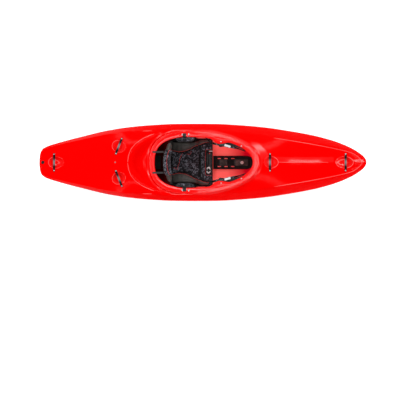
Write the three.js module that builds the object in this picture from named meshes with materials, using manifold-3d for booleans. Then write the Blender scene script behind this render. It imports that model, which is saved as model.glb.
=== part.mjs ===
// A whitewater kayak: a one-piece moulded shell with its grab handles, drain plug, seat, backband,
// thigh braces, ratchets, foot brace and foam pillars.
// Millimetres. +X points to the bow, +Y to port and +Z up. The origin is on the ground under mid-length.
import * as THREE from "three";
import { mergeVertices } from "three/addons/utils/BufferGeometryUtils.js";
import Module from "manifold-3d";

const wasm = await Module();
wasm.setup();

// Clearances
const fitGap = 0.35; // between pieces that touch
const runGap = 0.8; // beside a piece that slides or turns
const cutOver = 2; // how far a cutting shape runs past what it cuts

// Hull
const hullLength = 2700;
const beam = 640;
const hullHeight = 449; // ground to the top of the bow
const wall = 6;
const bowTip = 36; // length over which the bow closes
const sternTip = 22;
const bowTipHeight = 416;
const sternTipHeight = 331;
const tipFlat = 0.8; // the first ring at each end is as wide as the hull is this far in
const sternSquareness = 4;
const bowlBend = 270; // how far the rear deck's crest sweeps forward at bowlReach off centre
const bowlReach = 270;
const ridgeLand = 12; // least deck left between the coaming and the deck's edge
const plinthWidth = 32;

// Coaming
const cockpitLength = 910;
const cockpitWidth = 514;
const cockpitWidest = -100; // where the coaming is widest, from mid-length
const rimRearShare = 0.374; // share of the coaming's length behind its widest place
const rearSquareness = 2.6;
const frontSquareness = 2;
const lipOverhang = 14;
const lipThickness = 6;
const lipDroop = 3;
const riserHeight = 24;
const rearShelf = 42; // outer edge of the lip to the opening
const sideShelf = 48;
const frontShelf = 59;
const shelfDrop = 5;
const thighHook = 34; // how far the moulded thigh hooks reach into the opening
const hookMiddle = 225; // from the widest place
const hookRearReach = 80;
const hookFrontReach = 110;
const hookDrop = 8;

// Grab handles and the dishes under them
const handleSpan = 136; // between its bolts
const handleWidth = 15;
const handleThickness = 6;
const handleRise = 7; // its middle over the deck's crown
const handleFoot = 9; // from the bolt to the end of the foot
const footThickness = 4;
const bossRise = 4.5; // the boss under a foot, over the deck
const bossRadius = 12.5;
const bossDepth = 22;
const dishDepth = 30;
const dishLift = 26; // the dish's centre over the deck
const boltHeadRadius = 6;
const boltHeadHeight = 4;
const boltRadius = 3;
const boltLength = 16;
const boltClearance = 0.5;
const holeRadius = boltRadius + boltClearance;
const bowDishLength = 150;
const bowDishWidth = 104;
const foredeckDishLength = 118;
const foredeckDishWidth = 104;
const sternDishLength = 132;
const sternDishWidth = 98;
const sideDishLength = 112;
const sideDishWidth = 104;

// Drain plug and the screw of the stern pillar
const plugInset = 29; // from the stern's end
const plugRadius = 12;
const plugHeight = 4.5;
const plugStemRadius = 7;
const plugStemLength = 14;
const plugSlotWidth = 3;
const plugSlotDepth = 2.2;
const plugBossRadius = 16;
const plugBossHeight = 2.5;
const pillarScrewPlace = -724;
const pillarScrewLength = 42;

// Seat
const seatRear = -272;
const seatFront = 82;
const seatHalfWidth = 95; // flat part of the pan
const panTop = 22; // its upper face over the ground
const panFrontRise = 14;
const panThickness = 5;
const slopeReach = 176; // where the pan's side slope ends
const slopeRise = 26;
const sideRise = 60;
const frontHalfWidth = 194;
const wingDrop = 12.6; // flange under the coaming's top
const wingRear = -224;
const wingFront = -52;
const wingThickness = 5;
const flangeWidth = 24;
const seatBoltRear = -169;
const seatBoltFront = -117;
const seatBoltInset = 28; // from the lip's outer edge
const seatBoltLength = 22;
const spotRadius = 7.5;
const seatPadRear = -255;
const seatPadThickness = 18;
const seatPadFrontHalf = 170;
const hingePlace = -20; // hinge of the leg lifter
const seamClear = 4.6; // between the seat pad and the thigh pad
const panBend = -34; // from here the pan rises
const bolsterRear = -246;
const bolsterFront = 72;
const bolsterOuter = 173;
const bolsterFrontOuter = 190; // ahead of the hip pads
const bolsterWidening = 60; // over which it gets there
const bolsterThickness = 44;
const bolsterClear = 3;
const hipPadRear = -224;
const hipPadFront = -64;
const hipPadThickness = 35;
const hipPadRise = 15.4; // its top over the rim beside it
const hipPadBottom = 120;
const hipPadClear = 1.3; // from the opening's edge
const restGap = 0.8; // under a cushion

// Leg lifter
const lifterThickness = 4;
const lifterHalfWidth = 158;
const pocketRear = 27; // pocket at the front of the seat
const pocketHalfWidth = 103;
const thighPadThickness = 15;
const cleatLength = 36; // along the kayak
const cleatWidth = 56;
const cleatHeight = 11;
const cleatBarWidth = 12;
const cleatX = 48;
const cleatY = -64;

// Backband
const pivotX = -322;
const pivotZ = 118;
const trunnionRadius = 4;
const knuckleRadius = 8;
const knuckleHalf = 46;
const earThickness = 7;
const earRadius = 12;
const earWidth = 34;
const rearWallHalf = 96;
const rearWallTop = 88;
const rearWallLean = 26;
const plateThickness = 4;
const plateTop = 282;
const plateHalfBottom = 40;
const plateHalfTop = 84;
const bandX = -306;
const bandBottom = 188;
const bandTop = 335;
const bandHalf = 166;
const bandThickness = 44;
const bandWingThickness = 22;
const bandCurve = 34; // how far the ends sweep forward
const bandGroovePlace = 104; // where the middle pad meets its wings
const bandStep = 31; // over which the band thins there
const bandTaperBelow = 20;
const bandTaperAbove = 24;
const grooveDepth = 6;

// Ladder straps and ratchets
const strapWidth = 18;
const strapThickness = 2.4;
const strapClear = 0.8; // under the deck beside the cockpit
const ratchetX = 198;
const ratchetInset = 23; // strap's middle inside the opening's edge
const ratchetTurn = 0.3;
const strapTurn = 0.15; // the strap behind the ratchet
const strapClimb = 134; // where it comes up over the brace, behind the ratchet
const strapTurnPlace = 91; // where it lies almost flat
const strapFlatPlace = 73;
const ratchetLength = 54;
const cheekThickness = 2.2;
const cheekHeight = 15;
const cheekShare = 0.8; // of half the base, behind its middle
const basePlate = 2.4;
const leverLength = 50;
const leverThickness = 4;
const leverPinRadius = 2.5;
const leverPinPlace = -14; // behind the ratchet's middle

// Straps over the coaming
const hookStrapWidth = 15;
const hookStrapThickness = 2.2;
const rearStrapOffset = 86;
const rearStrapInset = 16; // from the lip's outer edge
const sideStrapPlace = -160;
const sideStrapWidth = 28;
const sideStrapInset = 37;

// Thigh braces
const braceRear = 5;
const braceStep = 140; // where its ledge is fully out in the opening
const braceGrowth = 26;
const braceFront = 345;
const braceThickness = 4.5;
const braceLedge = 34; // how far the ledge reaches inside the opening's edge
const braceOutside = 22;
const braceDrop = 27; // ledge under the coaming's top
const braceLip = 20;
const braceBossRadius = 9;
const braceBoltRear = 150;
const braceBoltRearInset = 60;
const braceBoltFront = 318;
const braceBoltFrontInset = 40;
const braceBoltLength = 34;

// Centre track
const trackRear = 86;
const trackFront = 412;
const trackHalfWidth = 56;
const trackEndHalf = 24; // its front corners are rounded down to this
const trackEndReach = 62; // over this length
const trackBase = 4;
const trackRailWidth = 8;
const trackRailHeight = 22;
const trackSlotLength = 28;
const trackSlotWidth = 7;
const trackSlotPitch = 56;
const trackSlotFirst = 122;
const trackSlotOffset = 33;
const trackSlots = 3;
const trackBoltPlace = 327;
const trackBoltRadius = 9;

// Foot brace
const footPlace = 640;
const footTravel = 80;
const footPlateThickness = 14;
const footPlateTop = 330;
const footPlateInset = 18; // from the shell's inner face
const railThickness = 13;
const railClear = 3.2; // between its back and the shell, at its tightest corner
const railHalfHeight = 17;
const railHeight = 180; // middle of the rails over the ground
const railRear = 530;
const railFront = 748;
const grooveHalf = 6;
const grooveInto = 8;
const postRadius = 9;
const sideBoltRear = 616;
const sideBoltFront = 668;
const sideBoltLength = 22;
const sideSpot = 1.8;

// Foam pillars
const sternPillarFront = -347;
const sternPillarInset = 245; // from the stern
const sternPillarClear = 17.8; // from its side to the nearest handle bolt's middle
const sternPillarNotch = 236; // height of its front end, under the backband
const sternPillarStep = -408;
const bowPillarGap = 27; // ahead of the foot brace at its farthest
const bowPillarInset = 292; // from the bow
const bowPillarHalf = 45;

// Hull lines: station as a share of hullLength from mid-length, value as a share of the size named
const beamShares = [ // of beam / 2
  [-0.5, 0.33], [-0.493, 0.346], [-0.4744, 0.42], [-0.4378, 0.517], [-0.3641, 0.68], [-0.2907, 0.827],
  [-0.217, 0.921], [-0.1437, 0.973], [-0.0885, 0.995], [-0.024, 1], [0.04, 0.996], [0.1137, 0.963],
  [0.1874, 0.909], [0.2611, 0.818], [0.3344, 0.705], [0.3896, 0.585], [0.4263, 0.477], [0.4633, 0.328],
  [0.4815, 0.224], [0.4926, 0.157], [0.5, 0.131],
];
const keelShares = [ // of hullHeight, as are all heights below
  [-0.5, 0.668], [-0.4533, 0.552], [-0.3793, 0.372], [-0.3052, 0.21], [-0.2307, 0.097], [-0.1567, 0.033],
  [-0.0556, 0], [0.1037, 0], [0.177, 0.023], [0.2511, 0.095], [0.3256, 0.2205], [0.3996, 0.418],
  [0.4552, 0.628], [0.4926, 0.827], [0.5, 0.873],
];
const gunwaleShares = [
  [-0.5, 0.737], [-0.4837, 0.715], [-0.4011, 0.581], [-0.2619, 0.468], [0, 0.434], [0.1222, 0.439],
  [0.2259, 0.4655], [0.3315, 0.532], [0.4052, 0.628], [0.463, 0.768], [0.5, 0.913],
];
const ridgeShares = [
  [-0.5, 0.79], [-0.4537, 0.802], [-0.3267, 0.831], [-0.2619, 0.806], [-0.1815, 0.675], [-0.1474, 0.6325],
  [-0.0815, 0.608], [0.0104, 0.606], [0.1207, 0.668], [0.1778, 0.713], [0.2448, 0.795], [0.3019, 0.831],
  [0.4119, 0.895], [0.463, 0.949], [0.5, 0.989],
];
const deckShares = [
  [-0.5, 0.797], [-0.4533, 0.826], [-0.3793, 0.871], [-0.2867, 0.906], [-0.2593, 0.909], [-0.2311, 0.889],
  [-0.2185, 0.842], [-0.2, 0.735], [-0.185, 0.664], [-0.1685, 0.632], [-0.1541, 0.626], [-0.111, 0.63],
  [-0.0852, 0.637], [-0.0456, 0.746], [0.0104, 0.902], [0.066, 0.918], [0.1207, 0.891], [0.1652, 0.876],
  [0.1844, 0.881], [0.2511, 0.882], [0.3256, 0.886], [0.3996, 0.922], [0.4367, 0.955], [0.4737, 0.993],
  [0.5, 1],
];
const rimShares = [
  [-0.17, 0.683], [-0.1196, 0.675], [-0.0826, 0.671], [-0.0456, 0.686], [0.0104, 0.737], [0.066, 0.802],
  [0.103, 0.8486], [0.14, 0.8976], [0.175, 0.92],
];
const flatShares = [ // of the half beam
  [-0.5, 0.4], [-0.3, 0.42], [-0.1, 0.5], [0.12, 0.5], [0.35, 0.3], [0.5, 0.2],
];
const ridgeReachShares = [ // of the half beam
  [-0.5, 0.86], [-0.45, 0.88], [-0.3, 0.88], [-0.2, 0.86], [-0.1, 0.835], [0.05, 0.83], [0.12, 0.8],
  [0.17, 0.75], [0.22, 0.71], [0.3, 0.69], [0.42, 0.675], [0.466, 0.6], [0.5, 0.5],
];
const padHalfShares = [ // half width of the seat pad along its length, of its front
  [0, 0.57], [0.074, 0.54], [0.172, 0.505], [0.3175, 0.55], [0.442, 0.645], [0.579, 0.79], [0.685, 0.865],
  [0.81, 0.955], [1, 1],
];
const bolsterRiseShares = [[0, 0.55], [0.28, 1], [0.5, 0.86], [0.75, 0.7], [1, 0.45]]; // of its thickness
const crownPowers = [[-0.5, 2.2], [0.08, 2.2], [0.2, 1.7], [0.5, 1.7]];
const sideKneeShare = 0.3; // height where the deck's side begins to lean in, of its own height

// Mesh divisions
const wingSteps = 6;
const braceSteps = 10;
const flatSteps = 1;
const chineSteps = 4;
const sideSteps = 3;
const topSteps = 4;
const slitSteps = 20;
const slitSpread = 52; // see spreadAt
const slitBlend = 330;
const sternStationShares = [ // from the end to the coaming
  0, 0.002, 0.008, 0.0245, 0.06, 0.14, 0.26, 0.4, 0.54, 0.66, 0.75, 0.81, 0.86, 0.91, 0.955, 1,
];
const bowStationShares = [ // from the coaming to the end
  0, 0.025, 0.075, 0.15, 0.25, 0.36, 0.47, 0.58, 0.68, 0.77, 0.85, 0.91, 0.95, 0.975, 0.992, 1,
];
const trackStationShares = [0, 0.3, 0.6, 0.81, 0.87, 0.93, 0.97, 0.99, 1]; // of its length
const dishSides = 16;
const dishRings = 10;
const roundSides = 12;
const holeSides = 6;
const boltSides = 8;

// Value of a table of [place, value] pairs at a place, by a cubic that never overshoots
function interpolate(table, place) {
  const last = table.length - 1;
  if (place <= table[0][0]) return table[0][1];
  if (place >= table[last][0]) return table[last][1];
  let i = 0;
  while (place > table[i + 1][0]) i++;
  const slope = (k) => (table[k + 1][1] - table[k][1]) / (table[k + 1][0] - table[k][0]);
  const tangent = (k) => {
    if (k === 0) return slope(0);
    if (k === last) return slope(last - 1);
    const before = slope(k - 1);
    const after = slope(k);
    return before * after <= 0 ? 0 : (2 * before * after) / (before + after);
  };
  const span = table[i + 1][0] - table[i][0];
  const t = (place - table[i][0]) / span;
  const u = 1 - t;
  return (
    table[i][1] * (1 + 2 * t) * u * u + span * tangent(i) * t * u * u +
    table[i + 1][1] * (3 - 2 * t) * t * t - span * tangent(i + 1) * t * t * u
  );
}

const sides = [1, -1];
const clamp = (value) => Math.min(1, Math.max(0, value));
const smooth = (t) => clamp(t) ** 2 * (3 - 2 * clamp(t));
const mix = (a, b, t) => a + (b - a) * t;
const point = (x, y, z) => new THREE.Vector3(x, y, z);

// Solids
function solidOf(geometry) {
  const bare = new THREE.BufferGeometry().setAttribute("position", geometry.getAttribute("position"));
  if (geometry.index) bare.setIndex(geometry.index);
  const merged = mergeVertices(bare.index ? bare.toNonIndexed() : bare, 1e-4);
  const kept = [];
  const index = merged.index.array;
  for (let i = 0; i < index.length; i += 3) {
    const [a, b, c] = [index[i], index[i + 1], index[i + 2]];
    if (a !== b && b !== c && c !== a) kept.push(a, b, c);
  }
  return new wasm.Manifold(new wasm.Mesh({
    numProp: 3,
    vertProperties: new Float32Array(merged.attributes.position.array),
    triVerts: new Uint32Array(kept),
  }));
}

function geometryOf(solid) {
  const mesh = solid.getMesh();
  const positions = new Float32Array(mesh.numVert * 3);
  for (let i = 0; i < mesh.numVert; i++) {
    positions.set(mesh.vertProperties.subarray(i * mesh.numProp, i * mesh.numProp + 3), i * 3);
  }
  return new THREE.BufferGeometry()
    .setAttribute("position", new THREE.BufferAttribute(positions, 3))
    .setIndex(new THREE.BufferAttribute(new Uint32Array(mesh.triVerts), 1));
}

// Triangles of a sheet given as rows of points, turned over where flip is true
function sheet(rows, flip, out) {
  for (let i = 0; i + 1 < rows.length; i++) {
    for (let j = 0; j + 1 < rows[i].length; j++) {
      const [a, b, c, d] = [rows[i][j], rows[i][j + 1], rows[i + 1][j + 1], rows[i + 1][j]];
      const corners = flip ? [a, d, c, a, c, b] : [a, b, c, a, c, d];
      for (const corner of corners) out.push(corner.x, corner.y, corner.z);
    }
  }
}

const meshOf = (numbers) =>
  new THREE.BufferGeometry().setAttribute("position", new THREE.Float32BufferAttribute(numbers, 3));

// A closed solid through rings of points that run the same way round, with flat ends
function loft(rings) {
  const numbers = [];
  const closed = rings.map((ring) => [...ring, ring[0]]);
  sheet(closed, false, numbers);
  for (const [ring, flip] of [[rings[0], false], [rings[rings.length - 1], true]]) {
    const normal = point(0, 0, 0);
    ring.forEach((p, i) => normal.add(p.clone().cross(ring[(i + 1) % ring.length])));
    const across = new THREE.Vector3().subVectors(ring[1], ring[0]).normalize();
    const up = normal.clone().normalize().cross(across);
    const flat = ring.map((p) => new THREE.Vector2(p.dot(across), p.dot(up)));
    for (const [a, b, c] of THREE.ShapeUtils.triangulateShape(flat, [])) {
      for (const k of flip ? [a, b, c] : [a, c, b]) numbers.push(ring[k].x, ring[k].y, ring[k].z);
    }
  }
  return outward(meshOf(numbers));
}

// Turns a closed geometry so that its faces point out
function outward(geometry) {
  if (solidOf(geometry).volume() > 0) return geometry;
  const p = geometry.getAttribute("position");
  for (let i = 0; i < p.count; i += 3) {
    const b = point(p.getX(i + 1), p.getY(i + 1), p.getZ(i + 1));
    p.setXYZ(i + 1, p.getX(i + 2), p.getY(i + 2), p.getZ(i + 2));
    p.setXYZ(i + 2, b.x, b.y, b.z);
  }
  return geometry;
}

const join = (...geometries) => geometries.map(solidOf).reduce((a, b) => a.add(b));
const box = (x0, x1, y0, y1, z0, z1) =>
  new THREE.BoxGeometry(x1 - x0, y1 - y0, z1 - z0).translate((x0 + x1) / 2, (y0 + y1) / 2, (z0 + z1) / 2);
const boxSolid = (...limits) => solidOf(box(...limits));

// A cylinder along Y about the origin
const barrel = (radius, length, count) => new THREE.CylinderGeometry(radius, radius, length, count);

// An upright cylinder between two heights
const post = (radius, z0, z1, count) =>
  barrel(radius, z1 - z0, count).rotateX(Math.PI / 2).translate(0, 0, (z0 + z1) / 2);
const postAt = (radius, z0, z1, count, x, y) => solidOf(post(radius, z0, z1, count).translate(x, y, 0));

// Hull surface
function tipRound(distance, reach, power) {
  const left = Math.max(0, 1 - distance / reach);
  return (1 - left ** power) ** (1 / power);
}

function linesAt(x) {
  const share = x / hullLength;
  const distance = Math.max(tipFlat, hullLength / 2 - Math.abs(x));
  const reach = x > 0 ? bowTip : sternTip;
  const tip = x > 0 ? bowTipHeight : sternTipHeight;
  const round = tipRound(distance, reach, 2);
  const plan = x > 0 ? round : tipRound(distance, reach, sternSquareness);
  const height = (table, place = share) => mix(tip, hullHeight * interpolate(table, place), round);
  const halfBeam = (beam / 2) * interpolate(beamShares, share) * plan;
  return { halfBeam, height, keel: height(keelShares), gunwale: height(gunwaleShares), share };
}

// Coaming outlines, at an angle that is 0 at the bow end and half a turn at the stern end
const rimRear = cockpitLength * rimRearShare;
const rimFront = cockpitLength - rimRear;
function oval(angle, inset) {
  const c = Math.cos(angle);
  const s = Math.sin(angle);
  const power = 2 / (c < 0 ? rearSquareness : frontSquareness);
  const reach = c < 0 ? rimRear - inset.rear : rimFront - inset.front;
  return {
    x: cockpitWidest + Math.sign(c) * reach * Math.abs(c) ** power,
    y: Math.sign(s) * (cockpitWidth / 2 - inset.side) * Math.abs(s) ** power,
  };
}
const even = (inset) => ({ rear: inset, side: inset, front: inset });
const lipInset = even(0);
const riserInset = even(lipOverhang);
const riserInnerInset = even(lipOverhang + wall);
const openingInset = { rear: rearShelf, side: sideShelf, front: frontShelf };

// Half width of an outline at a station
function ovalHalf(x, inset) {
  const from = x - cockpitWidest;
  const power = from < 0 ? rearSquareness : frontSquareness;
  const reach = from < 0 ? rimRear - inset.rear : rimFront - inset.front;
  return (cockpitWidth / 2 - inset.side) * clamp(1 - (Math.abs(from) / reach) ** power) ** (1 / power);
}

function hookReachAt(x) {
  const from = x - cockpitWidest - hookMiddle;
  const away = clamp(Math.abs(from) / (from < 0 ? hookRearReach : hookFrontReach));
  return thighHook * Math.cos((Math.PI / 2) * away) ** 2;
}
const openingHalf = (x) => Math.max(0, ovalHalf(x, openingInset) - hookReachAt(x));
const rimHeight = (x) => hullHeight * interpolate(rimShares, x / hullLength);

// How far a point lies outside the coaming's upright wall
function outsideRiser(x, y) {
  const from = x - cockpitWidest;
  const power = from < 0 ? rearSquareness : frontSquareness;
  const reach = (from < 0 ? rimRear : rimFront) - lipOverhang;
  const half = cockpitWidth / 2 - lipOverhang;
  const size = ((Math.abs(from) / reach) ** power + (Math.abs(y) / half) ** power) ** (1 / power);
  return size <= 1 ? 0 : Math.hypot(from, y) * (1 - 1 / size);
}

function ridgeReach(x, halfBeam) {
  const least = ovalHalf(x, riserInset) + ridgeLand;
  const wanted = halfBeam * interpolate(ridgeReachShares, x / hullLength);
  return ovalHalf(x, riserInset) > 0 ? Math.max(wanted, least) : wanted;
}

// Height of the deck inside its edge line, as if the dishes were not there
function deckHeight(x, y) {
  const lines = linesAt(x);
  const ridge = lines.height(ridgeShares);
  const bend = bowlBend * (y / bowlReach) ** 2 * smooth((cockpitWidest - x) / (rimRear - lipOverhang));
  const crown = lines.height(deckShares, (x - bend) / hullLength);
  const across = clamp(Math.abs(y) / ridgeReach(x, lines.halfBeam));
  const base = mix(ridge, crown, 1 - across ** interpolate(crownPowers, lines.share));
  const blend = smooth(1 - outsideRiser(x, y) / plinthWidth);
  return mix(base, rimHeight(x) - riserHeight, blend);
}

// How wide apart the deck's inner points start near the cockpit's ends, so that rows in and out of it match
function spreadAt(x) {
  const beyond = x < 0 ? slitRear - x : x - slitFront;
  return slitSpread * smooth(1 - beyond / slitBlend);
}

// Port half of the outer section, from the keel to innerEdge off centre
function section(x, innerEdge, spread = innerEdge) {
  const { halfBeam, keel, gunwale, share } = linesAt(x);
  const flat = halfBeam * interpolate(flatShares, share);
  const reach = ridgeReach(x, halfBeam);
  const ridge = deckHeight(x, reach);
  const knee = mix(gunwale, ridge, sideKneeShare);
  const row = [];
  for (let k = 0; k < flatSteps; k++) row.push(point(x, (flat * k) / flatSteps, keel));
  for (let k = 0; k < chineSteps; k++) {
    const angle = ((Math.PI / 2) * k) / chineSteps;
    row.push(point(x, mix(flat, halfBeam, Math.sin(angle)), mix(gunwale, keel, Math.cos(angle))));
  }
  for (let k = 0; k < sideSteps; k++) {
    const t = k / sideSteps;
    const y = mix(mix(halfBeam, halfBeam, t), mix(halfBeam, reach, t), t);
    row.push(point(x, y, mix(mix(gunwale, knee, t), mix(knee, ridge, t), t)));
  }
  for (let k = 0; k <= topSteps; k++) {
    const y = k < topSteps ? mix(reach, spread, k / topSteps) : innerEdge;
    row.push(point(x, y, deckHeight(x, y)));
  }
  return row;
}

const mirrorY = (p) => point(p.x, -p.y, p.z);
const slitAngle = (k) => Math.PI * (1 - k / slitSteps);
const slitRear = oval(Math.PI, riserInset).x;
const slitFront = oval(0, riserInset).x;

const centreSection = (x) => section(x, 0, spreadAt(x));

// Rows of the outer surface, with the cockpit's opening left between the two halves
function outerRows() {
  const rows = [];
  const stern = sternStationShares.slice(0, -1).map((share) => mix(-hullLength / 2, slitRear, share));
  const bow = bowStationShares.slice(1).map((share) => mix(slitFront, hullLength / 2, share));
  rows.push(...stern.map(centreSection));
  for (let k = 0; k <= slitSteps; k++) {
    const edge = oval(slitAngle(k), riserInset);
    rows.push(k === 0 || k === slitSteps ? centreSection(edge.x) : section(edge.x, edge.y));
  }
  rows.push(...bow.map(centreSection));
  const capped = (row, tip) => row.map(() => point(row[0].x, 0, tip));
  return [capped(rows[0], sternTipHeight), ...rows, capped(rows[rows.length - 1], bowTipHeight)];
}
const firstSlitRow = sternStationShares.length; // counts the end cap's row
const lastSlitRow = firstSlitRow + slitSteps;

// The rows moved in by a distance along the surface's normals
function insetRows(rows, distance) {
  const inSlit = (i) => i > firstSlitRow && i < lastSlitRow;
  return rows.map((row, i) => row.map((p, j) => {
    if (i === 0) return point(p.x + distance, 0, p.z);
    if (i === rows.length - 1) return point(p.x - distance, 0, p.z);
    const along = new THREE.Vector3().subVectors(rows[i + 1][j], rows[i - 1][j]);
    const before = j === 0 ? mirrorY(row[1]) : row[j - 1];
    const after = j < row.length - 1 ? row[j + 1] : inSlit(i) ? p : mirrorY(row[j - 1]);
    const normal = new THREE.Vector3().subVectors(after, before).cross(along).normalize();
    if (j === 0 || (j === row.length - 1 && !inSlit(i))) normal.setY(0).normalize();
    return p.clone().addScaledVector(normal, -distance);
  }));
}

// The coaming's profile at each opening row, from the deck outside to the deck's underside
function coamingRows(outer, inner) {
  const rows = [];
  for (let k = 0; k <= slitSteps; k++) {
    const angle = slitAngle(k);
    const ends = k === 0 || k === slitSteps;
    const at = (inset, drop, hook = 0) => {
      const o = oval(angle, inset);
      return point(o.x, ends ? 0 : Math.max(0, o.y - hook), rimHeight(o.x) - drop);
    };
    const opening = oval(angle, openingInset);
    const hook = hookReachAt(opening.x);
    const drop = shelfDrop + (hookDrop * hook) / thighHook;
    const outside = outer[firstSlitRow + k][outer[0].length - 1];
    const under = inner[firstSlitRow + k][inner[0].length - 1];
    const foot = at(riserInnerInset, 0).setZ(under.z);
    rows.push([
      outside,
      at(riserInset, lipThickness),
      at(lipInset, lipThickness + lipDroop),
      at(lipInset, lipDroop),
      at(riserInset, 0),
      at(openingInset, drop, hook),
      at(openingInset, drop + lipThickness, hook),
      at(riserInnerInset, lipThickness),
      foot,
      under,
    ]);
  }
  return rows;
}

function bothSides(rows, flip, out) {
  sheet(rows, flip, out);
  sheet(rows.map((row) => row.map(mirrorY)), !flip, out);
}

const outer = outerRows();
const inner = insetRows(outer, wall);

function shellBody() {
  const numbers = [];
  bothSides(outer, false, numbers);
  bothSides(inner, true, numbers);
  bothSides(coamingRows(outer, inner), false, numbers);
  return solidOf(meshOf(numbers));
}

// Places a piece made round its own origin on the deck, square to the surface there
function deckFrame(x, y, turn) {
  const step = wall;
  const slopeX = (deckHeight(x + step, y) - deckHeight(x - step, y)) / (2 * step);
  const slopeY = (deckHeight(x, y + step) - deckHeight(x, y - step)) / (2 * step);
  const up = point(-slopeX, -slopeY, 1).normalize();
  const ahead = point(Math.cos(turn), Math.sin(turn), 0);
  const side = up.clone().cross(ahead).normalize();
  return new THREE.Matrix4()
    .makeBasis(side.clone().cross(up), side, up)
    .setPosition(x, y, deckHeight(x, y));
}

// Handles: name, share of the hull's length, share of the half beam there, turn in radians, dish, and how far
// the dish lies ahead of the bar's middle as a share of its length
const handleShares = [
  ["bow_handle", 0.4363, 0, 0, { length: bowDishLength, width: bowDishWidth }, -0.08],
  ["foredeck_handle", 0.2052, 0, 0, { length: foredeckDishLength, width: foredeckDishWidth }, 0.1],
  ["stern_handle", -0.4548, 0, 0, { length: sternDishLength, width: sternDishWidth }, 0.13],
  ["rear_handle_left", -0.257, 0.474, -0.372, { length: sideDishLength, width: sideDishWidth }, 0],
  ["rear_handle_right", -0.257, -0.474, 0.372, { length: sideDishLength, width: sideDishWidth }, 0],
];
const handles = handleShares.map(([name, shareX, shareY, turn, size, ahead]) => {
  const x = shareX * hullLength;
  const y = shareY * linesAt(x).halfBeam;
  return { name, ...size, ahead: ahead * size.length, frame: deckFrame(x, y, turn) };
});

// A dish is the lower cap of an egg whose middle lies over the deck
function dish(handle, grow) {
  const depth = dishDepth + dishLift;
  const spread = 1 / Math.sqrt(1 - (dishLift / depth) ** 2);
  return new THREE.SphereGeometry(1, dishSides, dishRings)
    .rotateX(Math.PI / 2)
    .scale((handle.length / 2) * spread + grow, (handle.width / 2) * spread + grow, depth + grow)
    .translate(handle.ahead, 0, dishLift)
    .applyMatrix4(handle.frame);
}

// Height of the boss under a handle's bolt, in the handle's own frame
function bossTop(handle, side) {
  const foot = point(0, (side * handleSpan) / 2, 0).applyMatrix4(handle.frame);
  const up = point(0, 0, 1).transformDirection(handle.frame);
  return (deckHeight(foot.x, foot.y) - foot.z) * up.z + bossRise;
}

// A piece made at a handle's bolt, brought to its place on the deck
const atBolt = (geometry, handle, side) =>
  geometry.translate(0, (side * handleSpan) / 2, 0).applyMatrix4(handle.frame);

function boss(handle, side) {
  const top = bossTop(handle, side);
  return solidOf(atBolt(post(bossRadius, top - bossDepth, top, boltSides), handle, side));
}

function boltHole(handle, side) {
  const top = bossTop(handle, side);
  return solidOf(atBolt(post(holeRadius, top - boltLength, top + cutOver, holeSides), handle, side));
}

// An arched bar with flat feet, cut from a strip seen from ahead
function handleBar(handle) {
  const [right, left] = [-1, 1].map((side) => bossTop(handle, side) + fitGap);
  const half = handleSpan / 2;
  const end = half + handleFoot;
  const crown = handleRise;
  const under = crown - handleThickness;
  const shape = new THREE.Shape();
  shape.moveTo(-end, right);
  shape.lineTo(-half + handleFoot, right);
  shape.quadraticCurveTo(-half / 2, under, 0, under);
  shape.quadraticCurveTo(half / 2, under, half - handleFoot, left);
  shape.lineTo(end, left);
  shape.lineTo(end, left + footThickness);
  shape.lineTo(half - handleFoot, left + footThickness);
  shape.quadraticCurveTo(half / 2, crown, 0, crown);
  shape.quadraticCurveTo(-half / 2, crown, -half + handleFoot, right + footThickness);
  shape.lineTo(-end, right + footThickness);
  const turn = new THREE.Matrix4().makeBasis(point(0, 1, 0), point(0, 0, 1), point(1, 0, 0));
  const bar = new THREE.ExtrudeGeometry(shape, { depth: handleWidth, bevelEnabled: false, curveSegments: 3 })
    .translate(0, 0, -handleWidth / 2)
    .applyMatrix4(turn);
  let solid = solidOf(bar);
  for (const [side, foot] of [[-1, right], [1, left]]) {
    const top = foot + footThickness + cutOver;
    solid = solid.subtract(postAt(holeRadius, foot - cutOver, top, holeSides, 0, side * half));
  }
  return geometryOf(solid).applyMatrix4(handle.frame);
}

// A bolt whose head's underside is at height 0 and whose shank runs down
function bolt(length, headRadius = boltHeadRadius) {
  const profile = [
    [0, -length], [boltRadius, -length], [boltRadius, 0], [headRadius, 0],
    [headRadius, boltHeadHeight / 2], [headRadius / 2, boltHeadHeight], [0, boltHeadHeight],
  ].map(([r, z]) => new THREE.Vector2(r, z));
  return new THREE.LatheGeometry(profile, boltSides).rotateX(Math.PI / 2);
}

function handleBolt(handle, side) {
  const seat = bossTop(handle, side) + 2 * fitGap + footThickness;
  const shank = boltLength + footThickness - cutOver;
  return atBolt(bolt(shank).translate(0, 0, seat), handle, side);
}

// Grids of points
function offsetGrid(grid, distance) {
  const last = grid.length - 1;
  return grid.map((row, i) => row.map((p, j) => {
    const ahead = grid[Math.min(last, i + 1)][j];
    const along = new THREE.Vector3().subVectors(ahead, grid[Math.max(0, i - 1)][j]);
    const next = row[Math.min(row.length - 1, j + 1)];
    const across = new THREE.Vector3().subVectors(next, row[Math.max(0, j - 1)]);
    return p.clone().addScaledVector(across.cross(along).normalize(), distance);
  }));
}

const border = (grid) => [
  ...grid[0],
  ...grid.slice(1).map((row) => row[row.length - 1]),
  ...grid[grid.length - 1].slice(0, -1).reverse(),
  ...grid.slice(0, -1).reverse().map((row) => row[0]),
];

// A closed solid between two grids of the same size
function slab(front, back) {
  const numbers = [];
  sheet(front, false, numbers);
  sheet(back, true, numbers);
  sheet([border(front), border(back)], true, numbers);
  return outward(meshOf(numbers));
}
const plate = (grid, thickness) => slab(grid, offsetGrid(grid, thickness));

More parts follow.
